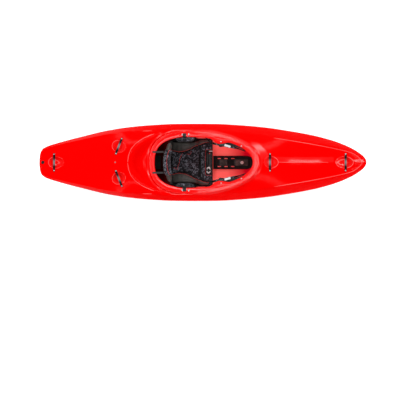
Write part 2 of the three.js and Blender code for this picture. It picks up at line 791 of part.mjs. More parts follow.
// A flat strap along a path of [point, direction of its width] pairs
function strap(path, width, thickness) {
  const rings = path.map(([p, across], i) => {
    const before = path[Math.max(0, i - 1)][0];
    const after = path[Math.min(path.length - 1, i + 1)][0];
    const along = new THREE.Vector3().subVectors(after, before).normalize();
    const wide = across.clone().addScaledVector(along, -across.dot(along)).normalize();
    const thick = along.clone().cross(wide);
    return [[1, 1], [-1, 1], [-1, -1], [1, -1]].map(([a, b]) =>
      p.clone().addScaledVector(wide, (a * width) / 2).addScaledVector(thick, (b * thickness) / 2));
  });
  return loft(rings);
}

// How full a cushion is from its middle (0) to its seam (1 or -1)
const edgeSquareness = 3.2;
const plump = (t) => (1 - Math.abs(t) ** edgeSquareness) ** (1 / edgeSquareness);
const padShares = [-1, -0.98, -0.9, -0.7, -0.36, 0, 0.36, 0.7, 0.9, 0.98, 1];
const bolsterShares = [-1, -0.98, -0.9, -0.7, -0.45, -0.2, 0, 0.176, 0.22, 0.34, 0.55, 0.75, 0.92, 0.98, 1];
const sidePadShares = [-1, -0.96, -0.8, -0.3, 0.3, 0.8, 0.96, 1];

// A cushion whose two faces, face 1 and face -1, meet along the seam
function cushion(at, across = padShares, along = padShares) {
  const face = (which) => along.map((v) => across.map((u) => at(u, v, which)));
  return slab(face(1), face(-1));
}

// How deep a sewn channel is at a distance from its line
const channel = (distance, width) => Math.exp(-((distance / width) ** 2));

// Lowest and highest point of a solid within a round column between two heights
function probe(solid, x, y, radius, z0, z1) {
  const bounds = solid.intersect(postAt(radius, z0, z1, holeSides, x, y)).boundingBox();
  return { low: bounds.min[2], high: bounds.max[2] };
}

// Seat
const clampTo = (value, low, high) => Math.min(high, Math.max(low, value));
const shareBetween = (value, from, to) => clamp((value - from) / (to - from));
const mirrored = (geometry) => {
  const copy = geometry.index ? geometry.toNonIndexed() : geometry.clone();
  return outward(copy.scale(1, -1, 1));
};
const wingLine = (x) => ovalHalf(x, openingInset) - fitGap * 2;
const panHeight = (x) => panTop + panFrontRise * clamp((x - panBend) / (seatFront - hingePlace));

// Upper face of the pan from the middle to its port edge
function panHalf(x) {
  const level = panHeight(x);
  const slope = shareBetween(x, slopeEnd, slopeStart);
  const side = Math.min(shareBetween(x, seatRear, wingRear), shareBetween(x, hingePlace, wingFront));
  const reach = mix(frontHalfWidth, slopeReach, slope);
  const wingEdge = wingLine(clampTo(x, wingRear, wingFront));
  const edge = mix(reach + panThickness, wingEdge, side * slope);
  return [
    point(x, 0, level),
    point(x, seatHalfWidth, level),
    point(x, mix(frontHalfWidth - panThickness, slopeReach, slope), level + slopeRise * slope),
    point(x, edge, level + mix(slopeRise, sideRise, side) * slope),
  ];
}

// Height of the pan's upper face off centre
function panAt(x, y) {
  const half = panHalf(x);
  const away = Math.abs(y);
  for (let i = 0; i + 1 < half.length; i++) {
    if (away <= half[i + 1].y || i + 2 === half.length) {
      return mix(half[i].z, half[i + 1].z, (away - half[i].y) / (half[i + 1].y - half[i].y));
    }
  }
  return half[0].z;
}

const slopeEnd = hingePlace - slopeRise / 2;
const slopeStart = slopeEnd - slopeRise;
const panStations = [
  seatRear, wingRear, (wingRear + wingFront) / 2, slopeStart, wingFront, slopeEnd, panBend, hingePlace,
  seatFront - panFrontRise, seatFront,
].sort((a, b) => a - b);

function wing() {
  const bottom = panTop + sideRise - 2 * panThickness;
  const upright = [];
  const flange = [];
  for (let k = 0; k <= wingSteps; k++) {
    const x = mix(wingRear, wingFront, k / wingSteps);
    const top = rimHeight(x) - wingDrop;
    upright.push([point(x, wingLine(x), bottom), point(x, wingLine(x), top)]);
    flange.push([point(x, wingLine(x), top), point(x, wingLine(x) + flangeWidth, top)]);
  }
  return [plate(upright, wingThickness), plate(flange, wingThickness)];
}

// Upright ear that carries the backband
function ear(y0) {
  const shape = new THREE.Shape();
  const foot = seatRear - rearWallLean / 2;
  shape.moveTo(foot - earWidth / 2, rearWallTop / 2);
  shape.lineTo(foot + earWidth / 2, rearWallTop / 2);
  shape.lineTo(pivotX + earRadius, pivotZ);
  shape.absarc(pivotX, pivotZ, earRadius, 0, Math.PI, false);
  const hole = new THREE.Path();
  hole.absarc(pivotX, pivotZ, trunnionRadius + boltClearance, 0, 2 * Math.PI, true);
  shape.holes.push(hole);
  return new THREE.ExtrudeGeometry(shape, { depth: earThickness, bevelEnabled: false, curveSegments: 4 })
    .rotateX(Math.PI / 2)
    .translate(0, y0 + earThickness, 0);
}

function seatPan(boltHoles) {
  const tub = plate(panStations.map(panHalf), panThickness);
  const wallRow = (x, z) => [-1, 1].map((side) => point(x, side * rearWallHalf, z));
  const rear = plate([
    wallRow(seatRear + panThickness, panTop - panThickness / 2),
    wallRow(seatRear, panTop + panThickness),
    wallRow(seatRear - rearWallLean, rearWallTop),
  ], panThickness);
  const wings = wing();
  const ears = [ear(knuckleHalf + runGap), ear(-knuckleHalf - runGap - earThickness)];
  let solid = join(tub, mirrored(tub), rear, ...wings, ...wings.map(mirrored), ...ears);
  for (const hole of boltHoles) solid = solid.subtract(hole);
  return geometryOf(solid);
}

const padHalf = (x) => seatPadFrontHalf * interpolate(padHalfShares, shareBetween(x, seatPadRear, seatFront));

// A cushion lying on the pan between two stations, with two lengthwise channels
function seatCushion(rear, front, lift, thickness, half, grooves, across, along) {
  return cushion((u, v, face) => {
    const x = mix(rear, front, (v + 1) / 2);
    const y = half(x) * u;
    const full = plump(u) * plump(v);
    const floor = panAt(x, y) + lift;
    const seam = thickness / 2;
    const cut = face > 0 ? grooves(x, y) : 0;
    return point(x, y, floor + seam + face * seam * full - cut * full);
  }, across, along);
}

const channelShare = 0.44; // place of the seat pad's lengthwise channels in its half width
const channelSideShares = [channelShare - 0.06, channelShare, channelShare + 0.06];
const seatPadHalfShares = [0.2, ...channelSideShares, 0.62, 0.88, 0.97, 1];
const seatPadShares = [...seatPadHalfShares.map((share) => -share).reverse(), 0, ...seatPadHalfShares];
const seatPadFront = hingePlace - seamClear;

function seatPad() {
  const grooves = (x, y) => (grooveDepth / 2) * channel(Math.abs(y) - channelShare * padHalf(x), grooveDepth);
  const thick = seatPadThickness;
  return seatCushion(seatPadRear, seatPadFront, restGap, thick, padHalf, grooves, seatPadShares, padShares);
}

const lifterLevel = (x) => panHeight(x) + fitGap;

function lifter() {
  const top = (x) => lifterLevel(x) + lifterThickness;
  const half = (x) => Math.min(lifterHalfWidth, padHalf(x) - bolsterClear);
  const row = (x) => [-1, 1].map((side) => point(x, side * half(x), top(x)));
  return plate([row(hingePlace), row(seatFront - panFrontRise), row(seatFront)], lifterThickness);
}

function thighPad() {
  const lift = lifterThickness + fitGap + restGap;
  const half = (x) => Math.min(padHalf(x) - cutOver, lifterHalfWidth + panThickness);
  const pad = seatCushion(hingePlace + restGap, seatFront, lift, thighPadThickness, half, () => 0);
  const pocket = boxSolid(pocketRear, seatFront + cutOver, -pocketHalfWidth, pocketHalfWidth, 0, hullHeight);
  return geometryOf(solidOf(pad).subtract(pocket));
}

function lifterCleat() {
  const slope = panFrontRise / (seatFront - hingePlace);
  const level = lifterLevel(cleatX) + lifterThickness + fitGap;
  const half = cleatLength / 2;
  const knob = post(half, 0, cleatHeight / 2, roundSides).scale(1, cleatWidth / cleatLength, 1);
  const bar = box(-half, half, -cleatBarWidth / 2, cleatBarWidth / 2, fitGap, cleatHeight);
  return geometryOf(join(knob, bar)).rotateY(-Math.atan(slope)).translate(cleatX, cleatY, level);
}

function bolster() {
  return cushion((u, v, face) => {
    const share = (v + 1) / 2;
    const x = mix(bolsterRear, bolsterFront, share);
    const widening = smooth((x - hipPadFront) / bolsterWidening);
    const outerLine = mix(bolsterOuter, bolsterFrontOuter, widening);
    const y = mix(padHalf(x) + bolsterClear, outerLine, (u + 1) / 2);
    const rise = bolsterThickness * interpolate(bolsterRiseShares, share);
    const seam = rise / 3;
    const full = plump(u) * plump(v);
    return point(x, y, panAt(x, y) + restGap + seam + (face > 0 ? (rise - seam) * full : -seam * full));
  }, sidePadShares, bolsterShares);
}

const hipPadTop = rimHeight(sideStrapPlace) + hipPadRise;

function hipPad() {
  const outerLine = (x) => ovalHalf(x, openingInset) - hipPadClear;
  return cushion((u, v, face) => {
    const x = mix(hipPadRear, hipPadFront, (u + 1) / 2);
    const z = mix(hipPadBottom, hipPadTop, (v + 1) / 2);
    const depth = hipPadThickness * mix(0.75, 1, 1 - u * u);
    const seam = depth / 4;
    const full = plump(u) * plump(v);
    return point(x, outerLine(x) - seam + (face > 0 ? seam * full : -(depth - seam) * full), z);
  }, padShares, sidePadShares);
}

// Backband
const bandMiddle = (y) => bandX + bandCurve * (y / bandHalf) ** 2;
function bandDepth(y) {
  const beyond = Math.abs(y) - bandGroovePlace + bandStep / 2;
  return mix(bandThickness, bandWingThickness, smooth(beyond / bandStep));
}
const bandGrooveShare = bandGroovePlace / bandHalf;
const bandHalfShares = [
  0.3, bandGrooveShare - 0.12, bandGrooveShare - 0.04, bandGrooveShare, bandGrooveShare + 0.03,
  bandGrooveShare + 0.1, 0.86, 0.97, 1,
];
const bandShares = [...bandHalfShares.map((share) => -share).reverse(), 0, ...bandHalfShares];
const bandRowShares = [-1, -0.97, -0.85, -0.5, 0, 0.5, 0.85, 0.97, 1];

function backbandPad() {
  return cushion((u, v, face) => {
    const y = bandHalf * u;
    const wingward = smooth((Math.abs(u) - bandGrooveShare) / (1 - bandGrooveShare));
    const lower = bandBottom + bandTaperBelow * wingward;
    const upper = bandTop - bandTaperAbove * wingward;
    const cut = grooveDepth * channel(Math.abs(y) - bandGroovePlace, grooveDepth);
    const swell = (bandDepth(y) / 2 - (face > 0 ? cut : 0)) * plump(u) * plump(v);
    return point(bandMiddle(y) + face * swell, y, mix(lower, upper, (v + 1) / 2));
  }, bandShares, bandRowShares);
}

const plateRowShares = [0, 0.12, 0.25, 0.4, 0.6, 0.8, 1];
function backbandPlate() {
  const rise = plateTop - pivotZ;
  const rowAt = (share) => [-1, -0.5, 0, 0.5, 1].map((side) => {
    const z = pivotZ + rise * share;
    const y = side * mix(plateHalfBottom, plateHalfTop, smooth(share));
    const behind = bandMiddle(y) - bandDepth(y) / 2 - restGap - plateThickness;
    return point(mix(pivotX - plateThickness / 2, behind, smooth(share * 2)), y, z);
  });
  const board = plate(plateRowShares.map(rowAt), plateThickness);
  const ends = knuckleHalf + runGap + earThickness + fitGap;
  const knuckle = barrel(knuckleRadius, 2 * knuckleHalf, roundSides).translate(pivotX, 0, pivotZ);
  const trunnions = barrel(trunnionRadius, 2 * ends, roundSides).translate(pivotX, 0, pivotZ);
  return geometryOf(join(board, knuckle, trunnions));
}

// Thigh braces, port side
const ledgeHeight = (x) => rimHeight(x) - braceDrop;

function braceRow(x) {
  const edge = openingHalf(x);
  const out = smooth((x - braceStep) / braceGrowth + 1);
  const inner = mix(edge + braceThickness, edge - braceLedge, out);
  const z = ledgeHeight(x);
  return [
    point(x, edge + braceOutside, z),
    point(x, inner + braceLip / 2, z),
    point(x, inner + braceLip / 8, z - braceLip / 4),
    point(x, inner, z - mix(braceThickness * 1.5, braceLip, out)),
  ];
}

function thighBrace(bosses) {
  const rows = [];
  for (let k = 0; k <= braceSteps; k++) rows.push(braceRow(mix(braceRear, braceFront, k / braceSteps)));
  let solid = solidOf(plate(rows, -braceThickness));
  for (const { x, y, top } of bosses) {
    const foot = ledgeHeight(x) - braceThickness / 2;
    solid = solid.add(postAt(braceBossRadius, foot, top, roundSides, x, y));
  }
  for (const { x, y, top } of bosses) {
    solid = solid.subtract(postAt(holeRadius, top - 2 * braceDrop, top + cutOver, holeSides, x, y));
  }
  return geometryOf(solid);
}

// Ratchets, port side
function ratchetFrame() {
  const half = ratchetLength / 2;
  const slope = (ledgeHeight(ratchetX + half) - ledgeHeight(ratchetX - half)) / ratchetLength;
  const up = point(-slope, 0, 1).normalize();
  const along = Math.cos(ratchetTurn);
  const ahead = point(along, -Math.sin(ratchetTurn), slope * along).normalize();
  const y = openingHalf(ratchetX) - ratchetInset;
  return new THREE.Matrix4()
    .makeBasis(ahead, up.clone().cross(ahead), up)
    .setPosition(point(ratchetX, y, ledgeHeight(ratchetX)).addScaledVector(up, restGap));
}
const ratchet = ratchetFrame();
const cheekInner = strapWidth / 2 + runGap;
const pinHeight = cheekHeight - 2 * leverPinRadius;

// Limits of a piece that runs from one distance off centre to another, on one side
const onSide = (side, near, far) => [side * near, side * far].sort((a, b) => a - b);

function ratchetBase() {
  const half = ratchetLength / 2;
  const outside = cheekInner + cheekThickness;
  let solid = boxSolid(-half, half, -outside, outside, 0, basePlate);
  for (const side of sides) {
    const [y0, y1] = onSide(side, cheekInner, outside);
    solid = solid.add(boxSolid(-half * cheekShare, half / 2, y0, y1, 0, cheekHeight));
  }
  const hole = barrel(leverPinRadius + boltClearance, 4 * cheekInner, holeSides);
  solid = solid.subtract(solidOf(hole.translate(leverPinPlace, 0, pinHeight)));
  return geometryOf(solid).applyMatrix4(ratchet);
}

function ratchetLever() {
  const half = cheekInner - runGap / 2;
  const top = pinHeight + leverThickness;
  const pin = barrel(leverPinRadius, 2 * (cheekInner + cheekThickness), roundSides);
  const arm = box(leverPinPlace - leverThickness, leverPinPlace + leverLength, -half, half, pinHeight, top);
  return geometryOf(join(pin.translate(leverPinPlace, 0, pinHeight), arm)).applyMatrix4(ratchet);
}

const strapLevel = basePlate + fitGap + strapThickness / 2;
const inRatchet = (ahead) => point(ahead, 0, strapLevel).applyMatrix4(ratchet);

// Middle of the strap behind the ratchet, on the brace's ledge
function beforeRatchet(behind, drop) {
  const x = ratchetX - behind;
  const y = openingHalf(ratchetX) - ratchetInset + behind * strapTurn;
  return point(x, y, ledgeHeight(x) + restGap + strapLevel - drop);
}

// From the backband's wing, outside the seat, up through the ratchet and on under the coaming
function ladderStrap() {
  const flat = point(0, 1, 0).transformDirection(ratchet);
  const upright = point(0, 0, 1);
  const height = (bandBottom + bandTop) / 2;
  const level = rimHeight(wingRear) - riserHeight - wall - strapClear - strapWidth / 2;
  const rearY = bandHalf - strapWidth;
  const outside = wingLine(cockpitWidest) + wingThickness + strapWidth / 2;
  const behind = bandMiddle(rearY) - bandDepth(rearY) / 2 - strapThickness;
  const beside = bandMiddle(bandHalf) - strapWidth / 4;
  return strap([
    [point(behind, rearY, height), upright],
    [point(beside, bandHalf + strapThickness * 2, height), upright],
    [point(wingRear - strapWidth, outside - strapWidth / 2, level), upright],
    [point(wingRear + strapWidth / 2, outside, level), upright],
    [point(wingFront, outside, level), upright],
    [point(braceRear + strapWidth, outside - strapWidth, level + strapWidth), point(0, 0.4, 1)],
    [beforeRatchet(strapClimb, 2 * strapWidth).add(point(0, strapWidth / 2, 0)), point(0, 1, 0.6)],
    [beforeRatchet(strapTurnPlace, strapThickness), point(0, 1, 0.1)],
    [beforeRatchet(strapFlatPlace, 0), flat],
    [inRatchet(-0.6 * ratchetLength), flat],
    [inRatchet(0), flat],
    [inRatchet(ratchetLength), flat],
    [inRatchet(3 * ratchetLength), flat],
  ], strapWidth, strapThickness);
}

// Centre track
const floorAt = (x) => linesAt(x).keel + wall;

// The track's section: a flat base between two rails
function trackRing(x) {
  const base = floorAt(x) + restGap;
  const rounding = clamp(1 - (trackFront - x) / trackEndReach);
  const half = mix(trackEndHalf, trackHalfWidth, Math.sqrt(1 - rounding ** 2));
  const rail = half - trackRailWidth;
  const profile = [
    [-half, 0], [half, 0], [half, trackRailHeight], [rail, trackRailHeight],
    [rail, trackBase], [-rail, trackBase], [-rail, trackRailHeight], [-half, trackRailHeight],
  ];
  return profile.map(([y, z]) => point(x, y, base + z));
}

function trackSlot(x, side) {
  const [y0, y1] = onSide(side, trackSlotOffset - trackSlotWidth / 2, trackSlotOffset + trackSlotWidth / 2);
  return boxSolid(x, x + trackSlotLength, y0, y1, 0, trackRailHeight * 2);
}

function centreTrack() {
  const rings = trackStationShares.map((share) => trackRing(mix(trackRear, trackFront, share)));
  let solid = solidOf(loft(rings));
  for (let k = 0; k < trackSlots; k++) {
    const x = trackSlotFirst + k * trackSlotPitch;
    for (const side of sides) solid = solid.subtract(trackSlot(x, side));
  }
  return geometryOf(solid.subtract(postAt(holeRadius, 0, trackRailHeight * 2, holeSides, trackBoltPlace, 0)));
}

// Foot brace
function closedBlock(rows) {
  const numbers = [];
  bothSides(rows, false, numbers);
  const edges = rows.slice(firstSlitRow, lastSlitRow + 1).map((row) => row[row.length - 1]);
  sheet(edges.map((p) => [p, mirrorY(p)]), false, numbers);
  return solidOf(meshOf(numbers));
}

function sideHalf(x, z) {
  const { halfBeam, keel, gunwale, share } = linesAt(x);
  const flat = halfBeam * interpolate(flatShares, share);
  return flat + (halfBeam - flat) * Math.sqrt(clamp(1 - ((gunwale - z) / (gunwale - keel)) ** 2));
}

// A cylinder across the hull on one side, between two distances off centre
function acrossPost(radius, near, far, side, x, z) {
  const middle = (side * (near + far)) / 2;
  return solidOf(barrel(radius, far - near, roundSides).translate(x, middle, z));
}

const sideBolts = [sideBoltRear, sideBoltFront];
const tightest = Math.min(...[railRear, railFront].map((x) => sideHalf(x, railHeight - railHalfHeight)));
const railInner = tightest - wall - railClear - railThickness;

function footRail(side, cavity) {
  const [y0, y1] = onSide(side, railInner, railInner + railThickness);
  const [g0, g1] = onSide(side, railInner - cutOver, railInner + grooveInto);
  const low = railHeight - grooveHalf;
  const high = railHeight + grooveHalf;
  let solid = boxSolid(railRear, railFront, y0, y1, railHeight - railHalfHeight, railHeight + railHalfHeight);
  for (const x of sideBolts) {
    const foot = railInner + grooveInto + cutOver;
    solid = solid.add(acrossPost(postRadius, foot, beam / 2, side, x, railHeight).intersect(cavity));
  }
  solid = solid.subtract(boxSolid(railRear - cutOver, railFront + cutOver, g0, g1, low, high));
  for (const x of sideBolts) {
    const from = sideHalf(x, railHeight) - sideBoltLength - cutOver;
    solid = solid.subtract(acrossPost(holeRadius, from, beam / 2, side, x, railHeight));
  }
  return geometryOf(solid);
}

function footPlate() {
  const room = closedBlock(insetRows(outer, wall + footPlateInset));
  const half = footPlateThickness / 2;
  const reach = railInner - runGap;
  const ears = railInner + grooveInto - runGap;
  const low = railHeight - grooveHalf + runGap;
  const high = railHeight + grooveHalf - runGap;
  let solid = boxSolid(footPlace - half, footPlace + half, -reach, reach, 0, footPlateTop);
  for (const shift of [-footTravel, 0, footTravel]) solid = solid.intersect(room.translate([shift, 0, 0]));
  const runner = boxSolid(footPlace - 2 * half, footPlace + 2 * half, -ears, ears, low, high);
  return geometryOf(solid.add(runner));
}

// Drain plug
const plugX = -hullLength / 2 + plugInset;
const plugSeat = deckHeight(plugX, 0) + plugBossHeight;
function drainPlug() {
  const seat = plugSeat + fitGap;
  const top = seat + plugHeight;
  const half = plugSlotWidth / 2;
  const stem = post(plugStemRadius, seat - plugStemLength, top, roundSides);
  const head = post(plugRadius, seat, top, roundSides);
  const slot = boxSolid(-plugRadius, plugRadius, -half, half, top - plugSlotDepth, top + cutOver);
  return geometryOf(join(stem, head).subtract(slot)).translate(plugX, 0, 0);
}

// Straps from the coaming to the backband and the hip pads
function rearStrap() {
  const y = rearStrapOffset;
  const lift = hookStrapThickness / 2 + 2 * restGap;
  const across = point(0, 1, 0);
  const off = (y / (cockpitWidth / 2)) ** rearSquareness;
  const lipEdge = cockpitWidest - rimRear * (1 - off) ** (1 / rearSquareness);
  const onRim = (inset, drop) => point(lipEdge + inset, y, rimHeight(lipEdge + inset) + lift - drop);
  const bandRear = bandMiddle(y) - bandDepth(y) / 2;
  return strap([
    [onRim(rearStrapInset, 0), across],
    [onRim(rearShelf, shelfDrop), across],
    [onRim(rearShelf + hookStrapWidth / 2, shelfDrop), across],
    [point(bandRear - hookStrapWidth, y, bandTop - 2 * hookStrapWidth), across],
    [point(bandRear - 2 * hookStrapThickness, y, bandTop - 1.5 * hookStrapWidth), across],
  ], hookStrapWidth, hookStrapThickness);
}

function sideStrap() {
  const x = sideStrapPlace;
  const across = point(1, 0, 0);
  const outside = ovalHalf(x, lipInset) - sideStrapInset;
  const edge = ovalHalf(x, openingInset);
  const top = rimHeight(x + sideStrapWidth / 2) - shelfDrop;
  const lift = hookStrapThickness / 2 + restGap;
  return strap([
    [point(x, outside, top + lift + shelfDrop / 2), across],
    [point(x, edge + hookStrapThickness * 2, top + lift + fitGap), across],
    [point(x, edge + hookStrapThickness, top + lift + hookStrapThickness), across],
    [point(x, edge, hipPadTop - hookStrapThickness), across],
  ], sideStrapWidth, hookStrapThickness);
}
// Pieces
const parts = [];
const finishes = {
  shell: new THREE.MeshStandardMaterial({ color: 0xe8100c, roughness: 0.28, metalness: 0 }),
  black: new THREE.MeshStandardMaterial({ color: 0x1a1a1b, roughness: 0.5, metalness: 0 }),
  bar: new THREE.MeshStandardMaterial({ color: 0x26282a, roughness: 0.32, metalness: 0.6 }),
  steel: new THREE.MeshStandardMaterial({ color: 0xc4c8c9, roughness: 0.3, metalness: 0.9 }),
  buckle: new THREE.MeshStandardMaterial({ color: 0xb9bcbc, roughness: 0.4, metalness: 0.2 }),
  fabric: new THREE.MeshStandardMaterial({ color: 0x33363b, roughness: 0.95, metalness: 0 }),
  smooth: new THREE.MeshStandardMaterial({ color: 0x34312e, roughness: 0.7, metalness: 0 }),
  webbing: new THREE.MeshStandardMaterial({ color: 0x2b302f, roughness: 0.85, metalness: 0 }),
  foam: new THREE.MeshStandardMaterial({ color: 0x17181a, roughness: 0.95, metalness: 0 }),
};
function add(name, finish, geometry) {
  const mesh = new THREE.Mesh(geometry, finishes[finish]);
  mesh.name = name;
  parts.push(mesh);
}
// Adds a piece made for the port side, and its twin
function addPair(name, finish, geometry) {
  add(`${name}_left`, finish, geometry);
  add(`${name}_right`, finish, mirrored(geometry));
}

const block = closedBlock(outer);

// The shell with a shell-thick dish under each handle and a bored boss under each bolt
function dishedShell() {
  let solid = shellBody();
  for (const handle of handles) solid = solid.add(solidOf(dish(handle, wall)).intersect(block));
  for (const handle of handles) solid = solid.subtract(solidOf(dish(handle, 0)));
  const ends = handles.flatMap((handle) => sides.map((side) => [handle, side]));
  for (const [handle, side] of ends) solid = solid.add(boss(handle, side));
  for (const [handle, side] of ends) solid = solid.subtract(boltHole(handle, side));
  return solid;
}

function boredForPlug(solid) {
  const boss = postAt(plugBossRadius, plugSeat - wall, plugSeat, roundSides, plugX, 0);
  const bottom = plugSeat - plugStemLength * 2;
  const bore = postAt(plugStemRadius + runGap, bottom, plugSeat + cutOver, roundSides, plugX, 0);
  return solid.add(boss).subtract(bore);
}

// A flat spot for a bolt's head with its hole below
function spotted(solid, x, y, seat, depth) {
  return solid
    .subtract(postAt(spotRadius, seat, seat + riserHeight, roundSides, x, y))
    .subtract(postAt(holeRadius, seat - depth, seat + riserHeight, holeSides, x, y));
}

function sideSpotted(solid, x, side) {
  const face = sideHalf(x, railHeight);
  return solid
    .subtract(acrossPost(spotRadius, face - sideSpot, face + 2 * wall, side, x, railHeight))
    .subtract(acrossPost(holeRadius, face - 3 * wall, face + wall, side, x, railHeight));
}

// Bolts through the coaming, with the height of each head's seat and of the shelf's underside there
function rimBoltsOf(solid) {
  const places = [
    ["seat_bolt_rear", seatBoltRear, seatBoltInset, seatBoltLength],
    ["seat_bolt_front", seatBoltFront, seatBoltInset, seatBoltLength],
    ["brace_bolt_rear", braceBoltRear, braceBoltRearInset, braceBoltLength],
    ["brace_bolt_front", braceBoltFront, braceBoltFrontInset, braceBoltLength],
  ];
  return places.map(([name, x, inset, length]) => {
    const y = ovalHalf(x, lipInset) - inset;
    const from = rimHeight(x) - 2 * riserHeight;
    const middle = probe(solid, x, y, boltRadius / 2, from, hullHeight);
    const around = probe(solid, x, y, spotRadius, from, hullHeight);
    const under = probe(solid, x, y, braceBossRadius, from, hullHeight).low;
    return { name, x, y, length, under, seat: mix(middle.high, around.low + lipThickness, 0.5) };
  });
}

let shell = boredForPlug(dishedShell());
const rimBolts = rimBoltsOf(shell);
const atScrew = probe(shell, pillarScrewPlace, 0, boltRadius / 2, hullHeight / 2, hullHeight);
const screwSeat = atScrew.high - boltClearance;
for (const side of sides) {
  for (const { x, y, seat } of rimBolts) shell = spotted(shell, x, side * y, seat, riserHeight);
  for (const x of sideBolts) shell = sideSpotted(shell, x, side);
}
shell = spotted(shell, pillarScrewPlace, 0, screwSeat, 3 * wall);

// Room inside the shell, less what the dishes take
const cavity = closedBlock(insetRows(outer, wall + fitGap));
const dishRoom = handles.map((handle) => solidOf(dish(handle, wall + fitGap)));
const roomInside = dishRoom.reduce((room, taken) => room.subtract(taken), cavity);

// A foam block as wide as twice half, filling the shell's height between two stations
const pillar = (rear, front, half) => boxSolid(rear, front, -half, half, 0, hullHeight).intersect(roomInside);

// Half width of the stern pillar, which stands between the side handles' inner bolts
const boltPlaces = handles.flatMap((handle) => sides.map((side) =>
  Math.abs(point(0, (side * handleSpan) / 2, 0).applyMatrix4(handle.frame).y)));
const sideHandleBolts = boltPlaces.filter((_, k) => handleShares[Math.floor(k / sides.length)][2] !== 0);
const sternPillarHalf = Math.min(...sideHandleBolts) - sternPillarClear;

function sternPillar() {
  const wide = 2 * sternPillarHalf;
  const front = sternPillarFront + cutOver;
  const notch = boxSolid(sternPillarStep, front, -wide, wide, sternPillarNotch, hullHeight);
  const bottom = screwSeat - pillarScrewLength - cutOver;
  const bore = postAt(holeRadius, bottom, hullHeight, holeSides, pillarScrewPlace, 0);
  return pillar(-hullLength / 2 + sternPillarInset, sternPillarFront, sternPillarHalf).subtract(notch).subtract(bore);
}

add("hull_shell", "shell", geometryOf(shell));
add("drain_plug", "black", drainPlug());
for (const handle of handles) {
  add(handle.name, "bar", handleBar(handle));
  add(`${handle.name}_bolt_left`, "steel", handleBolt(handle, 1));
  add(`${handle.name}_bolt_right`, "steel", handleBolt(handle, -1));
}
add("stern_pillar", "foam", geometryOf(sternPillar()));
add("pillar_screw", "steel", bolt(pillarScrewLength).translate(pillarScrewPlace, 0, screwSeat + fitGap));
const bowPillarRear = footPlace + footTravel + 2 * footPlateThickness + bowPillarGap;
const bowPillarFront = hullLength / 2 - bowPillarInset;
add("bow_pillar", "foam", geometryOf(pillar(bowPillarRear, bowPillarFront, bowPillarHalf)));

const seatHoles = rimBolts.slice(0, 2).flatMap(({ x, y, seat }) =>
  sides.map((side) => postAt(holeRadius, seat - 2 * riserHeight, seat, holeSides, x, side * y)));
const braceBosses = rimBolts.slice(2).map(({ x, y, under }) => ({ x, y, top: under - fitGap }));
add("seat_pan", "black", seatPan(seatHoles));
add("seat_pad", "fabric", seatPad());
addPair("seat_bolster", "smooth", bolster());
addPair("hip_pad", "smooth", hipPad());
add("leg_lifter", "black", lifter());
add("thigh_pad", "fabric", thighPad());
add("lifter_cleat", "buckle", lifterCleat());
add("backband_pad", "smooth", backbandPad());
add("backband_plate", "black", backbandPlate());
addPair("thigh_brace", "black", thighBrace(braceBosses));
for (const { name, x, y, seat, length } of rimBolts) {
  addPair(name, "steel", bolt(length).translate(x, y, seat + fitGap));
}
addPair("ratchet_base", "buckle", ratchetBase());
addPair("ratchet_lever", "buckle", ratchetLever());
addPair("ladder_strap", "webbing", ladderStrap());

const trackBoltSeat = floorAt(trackBoltPlace) + 2 * restGap + trackBase;
add("center_track", "black", centreTrack());
add("track_bolt", "steel", bolt(trackBase / 2, trackBoltRadius).translate(trackBoltPlace, 0, trackBoltSeat));
for (const side of sides) {
  const name = side > 0 ? "left" : "right";
  const head = (x) => bolt(sideBoltLength)
    .rotateX((-side * Math.PI) / 2)
    .translate(x, side * (sideHalf(x, railHeight) - sideSpot + fitGap), railHeight);
  add(`foot_rail_${name}`, "black", footRail(side, cavity));
  add(`rail_bolt_rear_${name}`, "steel", head(sideBoltRear));
  add(`rail_bolt_front_${name}`, "steel", head(sideBoltFront));
}
add("foot_plate", "black", footPlate());
addPair("rear_strap", "webbing", rearStrap());
addPair("side_strap", "webbing", sideStrap());

const kayak = new THREE.Group();
kayak.add(...parts);
export default kayak;
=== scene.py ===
# The looks of a whitewater kayak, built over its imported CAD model.
# Shapes are worked out in millimetres, with +X to the bow, +Y to port and +Z up, and stored in metres.
import bmesh
import bpy
import math
import numpy as np
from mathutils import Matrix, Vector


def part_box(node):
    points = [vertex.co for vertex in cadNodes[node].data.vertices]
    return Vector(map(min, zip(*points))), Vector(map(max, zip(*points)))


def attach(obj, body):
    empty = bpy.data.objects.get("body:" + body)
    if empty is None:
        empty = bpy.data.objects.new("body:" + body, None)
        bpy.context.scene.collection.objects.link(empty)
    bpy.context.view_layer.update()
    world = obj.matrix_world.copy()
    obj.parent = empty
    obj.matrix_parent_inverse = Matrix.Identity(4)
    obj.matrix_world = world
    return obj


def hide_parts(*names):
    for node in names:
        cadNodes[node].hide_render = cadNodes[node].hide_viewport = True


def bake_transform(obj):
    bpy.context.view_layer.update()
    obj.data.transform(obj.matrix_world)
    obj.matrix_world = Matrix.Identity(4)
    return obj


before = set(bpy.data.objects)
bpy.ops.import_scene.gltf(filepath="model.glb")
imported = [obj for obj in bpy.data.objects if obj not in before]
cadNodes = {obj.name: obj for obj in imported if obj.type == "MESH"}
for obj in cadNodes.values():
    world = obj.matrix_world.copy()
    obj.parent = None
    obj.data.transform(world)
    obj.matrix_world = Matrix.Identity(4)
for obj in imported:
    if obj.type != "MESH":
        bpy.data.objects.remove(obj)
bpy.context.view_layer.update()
scene = bpy.context.scene
print("frame: loaded,", len(cadNodes), "nodes")

